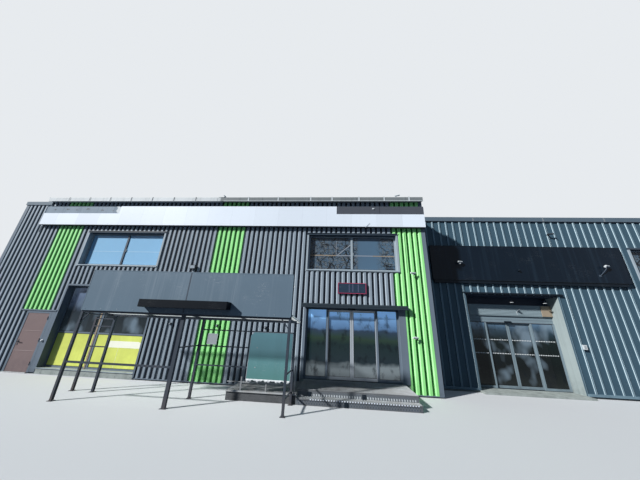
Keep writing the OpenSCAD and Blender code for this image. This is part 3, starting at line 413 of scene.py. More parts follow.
class Graph:
    """Adds and links the nodes of one node tree."""

    def __init__(self, tree: bpy.types.NodeTree) -> None:
        """Keeps the tree that the nodes go into."""
        self.tree = tree

    def add(self, kind: str, inputs: dict | None = None, **settings: object) -> bpy.types.Node:
        """Adds a node.

        Args:
            kind: Blender's name of the node type.
            inputs: A value or an output socket for each named or numbered input.
            settings: Properties of the node.

        Returns:
            The new node.
        """
        node = self.tree.nodes.new(kind)
        for key, value in settings.items():
            setattr(node, key, value)
        for key, value in (inputs or {}).items():
            if isinstance(value, Socket):
                self.tree.links.new(value, node.inputs[key])
            else:
                node.inputs[key].default_value = value
        return node

    def math(self, operation: str, first: object, second: object = 0.0, clamp: bool = False) -> Socket:
        """Returns the value of one Math node."""
        node = self.add("ShaderNodeMath", {0: first, 1: second}, operation=operation, use_clamp=clamp)
        return node.outputs[0]

    def times(self, first: object, second: object) -> Socket:
        """Returns the product of two values."""
        return self.math("MULTIPLY", first, second)

    def blend(self, share: object, first: object, second: object) -> Socket:
        """Returns the first colour mixed with the second by a share."""
        node = self.add("ShaderNodeMix", {0: share, 6: first, 7: second}, data_type="RGBA")
        return node.outputs[2]

    def ramp(self, value: object, low: float, high: float, start: object = 0.0, end: object = 1.0) -> Socket:
        """Returns a value mapped from low..high to start..end and held at both ends."""
        return self.add("ShaderNodeMapRange", {0: value, 1: low, 2: high, 3: start, 4: end}).outputs[0]

    def noise(self, vector: object, scale: float, detail: float = 3.0, rough: float = 0.55) -> Socket:
        """Returns the value of a noise texture."""
        values = {"Vector": vector, "Scale": scale, "Detail": detail, "Roughness": rough}
        return self.add("ShaderNodeTexNoise", values).outputs[0]

    def stretched(self, vector: object, scale: Triple) -> Socket:
        """Returns a place multiplied by a scale along each axis."""
        return self.add("ShaderNodeMapping", {"Vector": vector, "Scale": scale}).outputs[0]

    def scaled(self, vector: object, factor: object) -> Socket:
        """Returns a colour or a place multiplied by one number."""
        return self.add("ShaderNodeVectorMath", {0: vector, 3: factor}, operation="SCALE").outputs[0]

    def effect(self, group: bpy.types.NodeTree, values: dict) -> bpy.types.Node:
        """Returns a node of one of the shared groups, with its inputs set or linked."""
        return self.add("ShaderNodeGroup", values, node_tree=group)

    def parts(self, vector: object) -> tuple[Socket, ...]:
        """Returns the X, Y and Z of a place."""
        return tuple(self.add("ShaderNodeSeparateXYZ", {0: vector}).outputs)


class Effects:
    """Builds the node groups that several finishes share, each one once."""

    SOCKETS = {"float": "NodeSocketFloat", "color": "NodeSocketColor", "vector": "NodeSocketVector"}

    def __init__(self) -> None:
        """Makes all groups."""
        self.weather = self.group(
            "weather",
            [("Place", "vector"), ("Color", "color"), ("Stain", "color"), ("Streaks", "float"),
             ("Mottle", "float"), ("Foot dirt", "float")],
            [("Color", "color"), ("Dirt", "float")], self.fill_weather)
        self.grain = self.group(
            "grain", [("Place", "vector"), ("Scale", "float"), ("Scratches", "float")],
            [("Height", "float"), ("Shade", "float")], self.fill_grain)
        self.joints = self.group(
            "joints", [("Along", "float"), ("Pitch", "float"), ("Width", "float")],
            [("Line", "float")], self.fill_joints)
        self.dots = self.group(
            "dots", [("Along", "float"), ("Up", "float"), ("Pitch", "float"), ("Radius", "float")],
            [("Dot", "float")], self.fill_dots)

    def group(self, name: str, takes: list[tuple[str, str]], gives: list[tuple[str, str]],
              fill: Callable[[Graph, dict], dict]) -> bpy.types.NodeTree:
        """Builds one node group.

        Args:
            name: Name of the group.
            takes: Name and kind of each input.
            gives: Name and kind of each output.
            fill: Makes the nodes from a graph and the input sockets, and returns the output sockets.

        Returns:
            The group's node tree.
        """
        tree = bpy.data.node_groups.new(name, "ShaderNodeTree")
        for label, kind in takes:
            tree.interface.new_socket(name=label, in_out="INPUT", socket_type=self.SOCKETS[kind])
        for label, kind in gives:
            tree.interface.new_socket(name=label, in_out="OUTPUT", socket_type=self.SOCKETS[kind])
        graph = Graph(tree)
        source = graph.add("NodeGroupInput")
        made = fill(graph, {label: source.outputs[label] for label, _ in takes})
        graph.add("NodeGroupOutput", made)
        return tree

    @staticmethod
    def fill_weather(graph: Graph, given: dict) -> dict:
        """Rain streaks, cloudy unevenness and splashed dirt near the ground.

        Streaks are noise drawn out upright, the mottle is a coarse noise that lightens and darkens,
        and the foot dirt fades out from the ground to 0.7 m, broken up by noise.

        Args:
            graph: The group's graph.
            given: The group's input sockets.

        Returns:
            The group's output values.
        """
        place = given["Place"]
        wide = graph.noise(graph.stretched(place, (5.0, 5.0, 0.22)), 1.0, 4.0, 0.6)
        fine = graph.noise(graph.stretched(place, (34.0, 34.0, 0.7)), 1.0, 3.0, 0.6)
        streak = graph.times(graph.ramp(wide, 0.5, 0.75), graph.ramp(fine, 0.35, 0.7))
        streak = graph.times(streak, given["Streaks"])
        height = graph.parts(place)[2]
        broken = graph.ramp(graph.noise(place, 5.0), 0.3, 0.65)
        splash = graph.times(graph.ramp(height, 0.7, 0.0), broken)
        splash = graph.times(splash, given["Foot dirt"])
        dirt = graph.math("ADD", streak, splash, clamp=True)
        cloud = graph.math("SUBTRACT", graph.noise(place, 0.9, 5.0, 0.65), 0.5)
        cloud = graph.times(cloud, given["Mottle"])
        light = graph.math("ADD", cloud, 1.0)
        tint = graph.scaled(given["Color"], light)
        return {"Color": graph.blend(dirt, tint, given["Stain"]), "Dirt": dirt}

    @staticmethod
    def fill_grain(graph: Graph, given: dict) -> dict:
        """Fine grain with thin scratches.

        The grain is a noise at the given scale; scratches are the thin middle of a second noise that
        is drawn out on a slant, kept where a third noise is high.

        Args:
            graph: The group's graph.
            given: The group's input sockets.

        Returns:
            The group's output values.
        """
        noise = graph.add("ShaderNodeTexNoise",
                          {"Vector": given["Place"], "Scale": given["Scale"], "Detail": 4.0})
        slant = graph.add("ShaderNodeMapping", {"Vector": given["Place"], "Rotation": (0.3, 0.5, 0.2),
                                                "Scale": (3.0, 9.0, 55.0)}).outputs[0]
        thin = graph.math("ABSOLUTE", graph.math("SUBTRACT", graph.noise(slant, 1.0, 2.0), 0.5))
        thin = graph.ramp(thin, 0.006, 0.0)
        thin = graph.times(thin, graph.ramp(graph.noise(given["Place"], 1.7), 0.55, 0.7))
        thin = graph.times(thin, given["Scratches"])
        return {"Height": graph.math("ADD", noise.outputs[0], thin), "Shade": thin}

    @staticmethod
    def from_cell_middle(graph: Graph, value: Socket, pitch: Socket) -> Socket:
        """Returns how far a value lies past the middle of its cell, where cells follow at the pitch."""
        half = graph.times(pitch, 0.5)
        return graph.math("SUBTRACT", graph.math("FLOORED_MODULO", value, pitch), half)

    def fill_joints(self, graph: Graph, given: dict) -> dict:
        """Thin lines at an even pitch: 1 where the next multiple is nearer than half a width.

        Args:
            graph: The group's graph.
            given: The group's input sockets.

        Returns:
            The group's output values.
        """
        away = graph.math("ABSOLUTE", self.from_cell_middle(graph, given["Along"], given["Pitch"]))
        away = graph.math("SUBTRACT", graph.times(given["Pitch"], 0.5), away)
        return {"Line": graph.math("LESS_THAN", away, graph.times(given["Width"], 0.5))}

    def fill_dots(self, graph: Graph, given: dict) -> dict:
        """Round dots on a square grid: 1 where the middle of the cell is nearer than the radius.

        Args:
            graph: The group's graph.
            given: The group's input sockets.

        Returns:
            The group's output values.
        """
        across = self.from_cell_middle(graph, given["Along"], given["Pitch"])
        upward = self.from_cell_middle(graph, given["Up"], given["Pitch"])
        square = graph.math("ADD", graph.times(across, across), graph.times(upward, upward))
        return {"Dot": graph.math("LESS_THAN", graph.math("SQRT", square), given["Radius"])}


# Finishes


class Surface(Graph):
    """The node graph of one finish, with the shared groups and the place on the object."""

    def __init__(self, tree: bpy.types.NodeTree, effects: Effects) -> None:
        """Keeps the groups, the place and the normal in Object coordinates, and the place's three axes.

        Args:
            tree: The material's node tree.
            effects: The shared node groups.
        """
        super().__init__(tree)
        self.effects = effects
        coordinates = self.add("ShaderNodeTexCoord").outputs
        self.place, self.normal = coordinates["Object"], coordinates["Normal"]
        self.axes = self.parts(self.place)


@dataclass(frozen=True)
class Finish:
    """A painted, weathered surface; the other finishes change how its colour is made."""

    name: str
    color: Rgba
    slot: str = ""
    stain: Rgba = tone(60, 62, 60)
    roughness: float = 0.5
    metallic: float = 0.0
    streaks: float = 0.3
    mottle: float = 0.25
    foot_dirt: float = 0.35
    grain: float = 180.0
    grain_height: float = 0.0006
    scratches: float = 0.3
    specular: float = 0.14
    scratched: Rgba = tone(196, 200, 202)

    def paint(self, graph: Surface) -> object:
        """Returns the colour before it weathers."""
        return self.color

    def shader(self, graph: Surface, color: object, rough: object, normal: object) -> bpy.types.Node:
        """Makes the Principled shader with the finish's plain values.

        Args:
            graph: The material's graph.
            color: The weathered colour.
            rough: The roughness.
            normal: The normal with the grain.

        Returns:
            The node whose first output is the surface.
        """
        values = {"Base Color": color, "Roughness": rough, "Metallic": self.metallic, "Normal": normal,
                  "Specular IOR Level": self.specular}
        return graph.add("ShaderNodeBsdfPrincipled", values)

    def build(self, effects: Effects) -> bpy.types.Material:
        """Builds the material.

        Args:
            effects: The shared node groups.

        Returns:
            The material, with Object coordinates as its place.
        """
        material = bpy.data.materials.new(self.name)
        material.use_nodes = True
        material.node_tree.nodes.clear()
        graph = Surface(material.node_tree, effects)
        weather = graph.effect(effects.weather, {
            "Place": graph.place, "Color": self.paint(graph), "Stain": self.stain,
            "Streaks": self.streaks, "Mottle": self.mottle, "Foot dirt": self.foot_dirt})
        grain = graph.effect(effects.grain,
                             {"Place": graph.place, "Scale": self.grain, "Scratches": self.scratches})
        worn = graph.blend(grain.outputs["Shade"], weather.outputs["Color"], self.scratched)
        dull = min(1.0, self.roughness + 0.3)
        rough = graph.ramp(weather.outputs["Dirt"], 0.0, 1.0, self.roughness, dull)
        bump = graph.add("ShaderNodeBump", {"Strength": 0.5, "Distance": self.grain_height,
                                            "Height": grain.outputs["Height"]})
        shader = self.shader(graph, worn, rough, bump.outputs[0])
        graph.add("ShaderNodeOutputMaterial", {0: shader.outputs[0]})
        return material


@dataclass(frozen=True)
class RibbedFinish(Finish):
    """Ribbed sheet: painted shade with some dirt in its valleys, painted highlight on left-facing flanks."""

    valley: Rgba = tone(30, 36, 46)
    washed: Rgba = tone(150, 160, 168)
    crest_y: float = CREST
    valley_y: float = VALLEY
    washed_y: float = -0.085
    chalk: float = 0.45
    chalky_run: Pair = (-13.0, -8.5)

    def paint(self, graph: Surface) -> object:
        """The crest colour, darker by depth towards the valleys, and lighter on left-facing flanks.

        The darkening is painted shade with some dirt; the lighter flanks, where the X of the object's normal
        is under
        -0.5 and up to one depth, are a painted highlight. The crests are painted lighter towards the left
        end, a painted highlight too.

        Args:
            graph: The material's graph.

        Returns:
            The colour before it weathers.
        """
        along, depth, _ = graph.axes
        # Painted shade with some dirt by depth; painted highlight on left-facing flanks and towards the left
        # end
        share = graph.ramp(depth, self.crest_y + 0.004, self.valley_y, 0.0, 1.0)
        behind = graph.ramp(depth, self.valley_y + 0.02, self.valley_y + 0.03, 1.0, 0.0)
        side = graph.parts(graph.normal)[0]
        crest = graph.blend(graph.ramp(along, *self.chalky_run, self.chalk, 0.0), self.color, self.washed)
        color = graph.blend(graph.times(share, behind), crest, self.valley)
        outer = graph.ramp(depth, self.washed_y, self.washed_y + 0.004, 1.0, 0.0)
        return graph.blend(graph.times(graph.ramp(side, -0.25, -0.5), outer), color, self.washed)


@dataclass(frozen=True)
class SeamedFinish(Finish):
    """Flat sheets side by side, each a little lighter or darker than the next, with a fine seam."""

    pitch: float = 1.0
    seam: Rgba = tone(150, 156, 162)
    seam_width: float = 0.008

    def paint(self, graph: Surface) -> object:
        """The colour shaded by the sheet's number along X, with the seam's colour at each joint.

        Args:
            graph: The material's graph.

        Returns:
            The colour before it weathers.
        """
        along = graph.axes[0]
        number = graph.math("FLOOR", graph.math("DIVIDE", along, self.pitch))
        shade = graph.add("ShaderNodeTexWhiteNoise", {"W": number}, noise_dimensions="1D").outputs[0]
        color = graph.scaled(self.color[:3], graph.ramp(shade, 0.0, 1.0, 0.93, 1.04))
        seam = graph.effect(graph.effects.joints,
                            {"Along": along, "Pitch": self.pitch, "Width": self.seam_width})
        return graph.blend(seam.outputs[0], color, self.seam)


@dataclass(frozen=True)
class GrainyFinish(Finish):
    """Concrete, membrane or gravel: a coarse mottled mass with light and dark specks."""

    speck: Rgba = tone(90, 90, 88)
    speck_scale: float = 60.0

    def paint(self, graph: Surface) -> object:
        """The colour mixed with the specks' colour by a cell pattern and a noise.

        Args:
            graph: The material's graph.

        Returns:
            The colour before it weathers.
        """
        cells = graph.add("ShaderNodeTexVoronoi",
                          {"Vector": graph.place, "Scale": self.speck_scale}).outputs[0]
        patches = graph.ramp(graph.noise(graph.place, 6.0), 0.3, 0.7)
        share = graph.times(graph.ramp(cells, 0.35, 0.0), patches)
        return graph.blend(share, self.color, self.speck)


@dataclass(frozen=True)
class DaylitFinish(Finish):
    """Thin pale sheet that the daylight comes through: it shades little, and glows below with painted light.
    """

    glow: float = 0.5
    passes: float = 0.8

    def shader(self, graph: Surface, color: object, rough: object, normal: object) -> bpy.types.Node:
        """Makes a shader with a painted glow in the sheet's colour where it faces down, which lets light by.

        Args:
            graph: The material's graph.
            color: The weathered colour.
            rough: The roughness.
            normal: The normal with the grain.

        Returns:
            The node whose first output is the surface.
        """
        shader = super().shader(graph, color, rough, normal)
        _, _, up = graph.parts(graph.add("ShaderNodeNewGeometry").outputs["Normal"])
        under = graph.ramp(up, -0.6, -0.9)
        graph.tree.links.new(graph.blend(under, tone(0, 0, 0), color), shader.inputs["Emission Color"])
        shader.inputs["Emission Strength"].default_value = self.glow
        shade = graph.times(graph.add("ShaderNodeLightPath").outputs["Is Shadow Ray"], self.passes)
        clear = graph.add("ShaderNodeBsdfTransparent")
        return graph.add("ShaderNodeMixShader", {0: shade, 1: shader.outputs[0], 2: clear.outputs[0]})


@dataclass(frozen=True)
class SplitFinish(Finish):
    """One colour below a height and another above it, or left and right of a place along the front."""

    other: Rgba = tone(90, 90, 90)
    axis: Axis = Axis.Z
    change: float = 1.0
    width: float = 0.01

    def paint(self, graph: Surface) -> object:
        """The first colour up to the change and the other one past it.

        Args:
            graph: The material's graph.

        Returns:
            The colour before it weathers.
        """
        low, high = self.change - self.width, self.change + self.width
        past = graph.ramp(graph.axes[self.axis.value], low, high)
        return graph.blend(past, self.color, self.other)


@dataclass(frozen=True)
class FittingFinish(Finish):
    """Small fittings: pale ones, dark lamps at the left and high on the wing, a grey plate at the left."""

    lamp: Rgba = tone(46, 50, 56)
    plate: Rgba = tone(150, 156, 160)

    def paint(self, graph: Surface) -> object:
        """Left of -2 m the plate's colour under 1.7 m and the lamps' above; the lamps' also high past 8 m.

        Args:
            graph: The material's graph.

        Returns:
            The colour before it weathers.
        """
        along, _, up = graph.axes
        left = graph.blend(graph.ramp(up, 1.69, 1.71), self.plate, self.lamp)
        high = graph.blend(graph.ramp(up, 5.0, 5.1), self.color, self.lamp)
        right = graph.blend(graph.ramp(along, 7.9, 8.0), self.color, high)
        return graph.blend(graph.ramp(along, -2.0, -1.9), left, right)


@dataclass(frozen=True)
class PerforatedFinish(Finish):
    """Galvanised sheet with rows of small round holes."""

    hole_pitch: float = 0.02
    hole_radius: float = 0.006
    hole: Rgba = tone(34, 36, 40)

    def paint(self, graph: Surface) -> object:
        """The metal's colour, and a dark colour inside the holes: painted shade of the hollow behind them.

        Args:
            graph: The material's graph.

        Returns:
            The colour before it weathers.
        """
        along, _, up = graph.axes
        values = {"Along": along, "Up": up, "Pitch": self.hole_pitch, "Radius": self.hole_radius}
        dots = graph.effect(graph.effects.dots, values)
        return graph.blend(dots.outputs[0], self.color, self.hole)


Stops = tuple[tuple[float, Rgba], ...]
Zone = tuple[float, Pair, Stops]


@dataclass(frozen=True)
class GlassFinish(Finish):
    """Glazing with a painted reflection that changes over its height and along the front."""

    stops: Stops = ()
    along: Axis = Axis.Z
    span: Pair = (0.0, 1.0)
    clear: float = 0.3
    uneven: float = 0.05
    glow: float = 0.0

    def sheen(self, graph: Surface, stops: Stops, span: Pair) -> Socket:
        """Makes the colours of the stops, one after the other along the span, a little uneven.

        Args:
            graph: The material's graph.
            stops: Share of the span and colour of each stop.
            span: Where the first and the last stop lie along the finish's axis.

        Returns:
            The colour.
        """
        value = graph.axes[self.along.value]
        wave = graph.times(graph.math("SUBTRACT", graph.noise(graph.place, 1.6, 3.0), 0.5), self.uneven)
        value = graph.math("ADD", graph.ramp(value, span[0], span[1]), wave)
        node = graph.add("ShaderNodeValToRGB", {0: value})
        steps = node.color_ramp.elements
        for number, (position, color) in enumerate(stops):
            step = steps[number] if number < 2 else steps.new(position)
            step.position = position
            step.color = color
        return node.outputs[0]

    def paint(self, graph: Surface) -> object:
        """The painted reflection over the whole front."""
        return self.sheen(graph, self.stops, self.span)

    def shader(self, graph: Surface, color: object, rough: object, normal: object) -> bpy.types.Node:
        """Makes a smooth, partly clear Principled shader with a painted glow in its own colour.

        Args:
            graph: The material's graph.
            color: The weathered colour.
            rough: The roughness.
            normal: Not used.

        Returns:
            The node whose first output is the surface.
        """
        values = {"Base Color": color, "Roughness": rough, "Transmission Weight": self.clear, "IOR": 1.45,
                  "Specular IOR Level": self.specular, "Emission Color": color,
                  "Emission Strength": self.glow}
        return graph.add("ShaderNodeBsdfPrincipled", values)


@dataclass(frozen=True)
class ZonedGlassFinish(GlassFinish):
    """Ground-storey glazing, whose painted reflection changes over the height in its own way in each opening.
    """

    zones: tuple[Zone, ...] = ()
    bright: Rgba = tone(108, 125, 138)
    dark: Rgba = tone(10, 18, 24)

    def paint(self, graph: Surface) -> object:
        """The painted reflection of each zone, from the left, each one starting at its own place along the
        front.

        A noise mixes in lighter patches away from the middle, and a second noise darker ones everywhere,
        as painted reflections of the surroundings.

        Args:
            graph: The material's graph.

        Returns:
            The colour before it weathers.
        """
        along = graph.axes[0]
        color: object = self.color
        for start, span, stops in self.zones:
            sheen = self.sheen(graph, stops, span)
            color = graph.blend(graph.ramp(along, start, start + 0.01), color, sheen)
        light = graph.noise(graph.stretched(graph.place, (1.5, 1.5, 1.1)), 1.0, 2.0, 0.5)
        away = graph.ramp(graph.math("ABSOLUTE", along), 2.5, 3.0)
        light = graph.times(graph.ramp(light, 0.5, 0.72, 0.0, 0.8), away)
        shade = graph.noise(graph.stretched(graph.place, (3.4, 3.4, 2.0)), 1.3, 5.0, 0.65)
        shade = graph.ramp(shade, 0.52, 0.68, 0.0, 0.7)
        return graph.blend(light, graph.blend(shade, color, self.dark), self.bright)


@dataclass(frozen=True)
class BranchyGlassFinish(GlassFinish):
    """Upper glazing: a smooth painted reflection in the first window, and painted reflections of bare
    branches in the others.
    """

    mottled_from: float = -2.5
    clear_run: Pair = (0.3, 0.95)
    # The twig and leaf colours are painted reflections of trees
    twig: Rgba = tone(26, 28, 32)
    leaf: Rgba = tone(120, 116, 104)

    def branches(self, graph: Surface, scale: float, width: float) -> Socket:
        """Makes thin crooked lines: the borders between the cells of a bent cell pattern.

        Args:
            graph: The material's graph.
            scale: How many cells lie in a metre.
            width: How wide a line fades out.

        Returns:
            1 on the lines and 0 between them.
        """
        bend = graph.add("ShaderNodeTexNoise", {"Vector": graph.place, "Scale": scale * 0.8, "Detail": 3.0})
        bend = graph.scaled(bend.outputs["Color"], 0.9 / scale)
        bent = graph.add("ShaderNodeVectorMath", {0: graph.place, 1: bend}, operation="ADD").outputs[0]
        cells = graph.add("ShaderNodeTexVoronoi", {"Vector": bent, "Scale": scale},
                          feature="DISTANCE_TO_EDGE")
        return graph.ramp(cells.outputs["Distance"], width, width * 0.3)

    def paint(self, graph: Surface) -> object:
        """The painted reflection, with painted reflections of branches and leaves everywhere but in the clear
        run.

        Args:
            graph: The material's graph.

        Returns:
            The colour before it weathers.
        """
        along = graph.axes[0]
        left = graph.ramp(along, self.clear_run[0] - 0.1, self.clear_run[0], 1.0, 0.0)
        cover = graph.math("MAXIMUM", left, graph.ramp(along, self.clear_run[1], self.clear_run[1] + 0.35))
        cover = graph.times(cover, graph.ramp(along, self.mottled_from, self.mottled_from + 0.1))
        leaf_reflections = graph.noise(graph.stretched(graph.place, (14.0, 14.0, 14.0)), 1.0, 6.0, 0.75)
        leaf_reflections = graph.times(cover, graph.ramp(leaf_reflections, 0.47, 0.6, 0.0, 0.7))
        color = graph.blend(leaf_reflections, super().paint(graph), self.leaf)
        lines = graph.math("MAXIMUM", self.branches(graph, 1.9, 0.05), self.branches(graph, 6.0, 0.06))
        lines = graph.math("MAXIMUM", lines, self.branches(graph, 13.0, 0.06))
        gaps = graph.ramp(graph.noise(graph.place, 3.1, 2.0), 0.36, 0.5, 0.35, 1.0)
        return graph.blend(graph.times(graph.times(cover, lines), gaps), color, self.twig)


# Painted reflections: what the panes show, as colours along their span; the entrance's top and the
# screen's upper part are painted lighter too, against the shadow that falls on them
UPPER_REFLECTION = (
    (0.0, tone(150, 196, 228)), (0.17, tone(146, 192, 226)), (0.3, tone(84, 100, 116)),
    (0.45, tone(82, 108, 130)), (0.5, tone(84, 114, 138)), (1.0, tone(88, 112, 130)))
SHOP_REFLECTION_LEFT = (
    (0.0, tone(46, 56, 62)), (0.45, tone(34, 44, 52)), (0.6, tone(70, 84, 104)), (1.0, tone(100, 116, 142)))
SHOP_REFLECTION_RIGHT = ((0.0, tone(40, 48, 52)), (0.5, tone(28, 36, 42)), (1.0, tone(22, 30, 38)))
ENTRANCE_REFLECTION = (
    (0.0, tone(116, 124, 128)), (0.19, tone(108, 118, 122)), (0.24, tone(30, 42, 48)),
    (0.48, tone(24, 40, 42)), (0.56, tone(38, 56, 46)), (0.66, tone(40, 56, 74)),
    (0.69, tone(74, 104, 138)), (0.83, tone(98, 136, 176)), (0.87, tone(146, 198, 244)),
    (1.0, tone(152, 206, 250)))
WING_REFLECTION = (
    (0.0, tone(30, 34, 34)), (0.3, tone(14, 19, 20)), (0.7, tone(18, 28, 28)), (0.85, tone(42, 58, 70)),
    (1.0, tone(84, 112, 136)))
SCREEN_REFLECTION = (
    (0.0, tone(74, 112, 110)), (0.45, tone(80, 118, 122)), (0.62, tone(104, 144, 152)),
    (1.0, tone(108, 150, 160)))


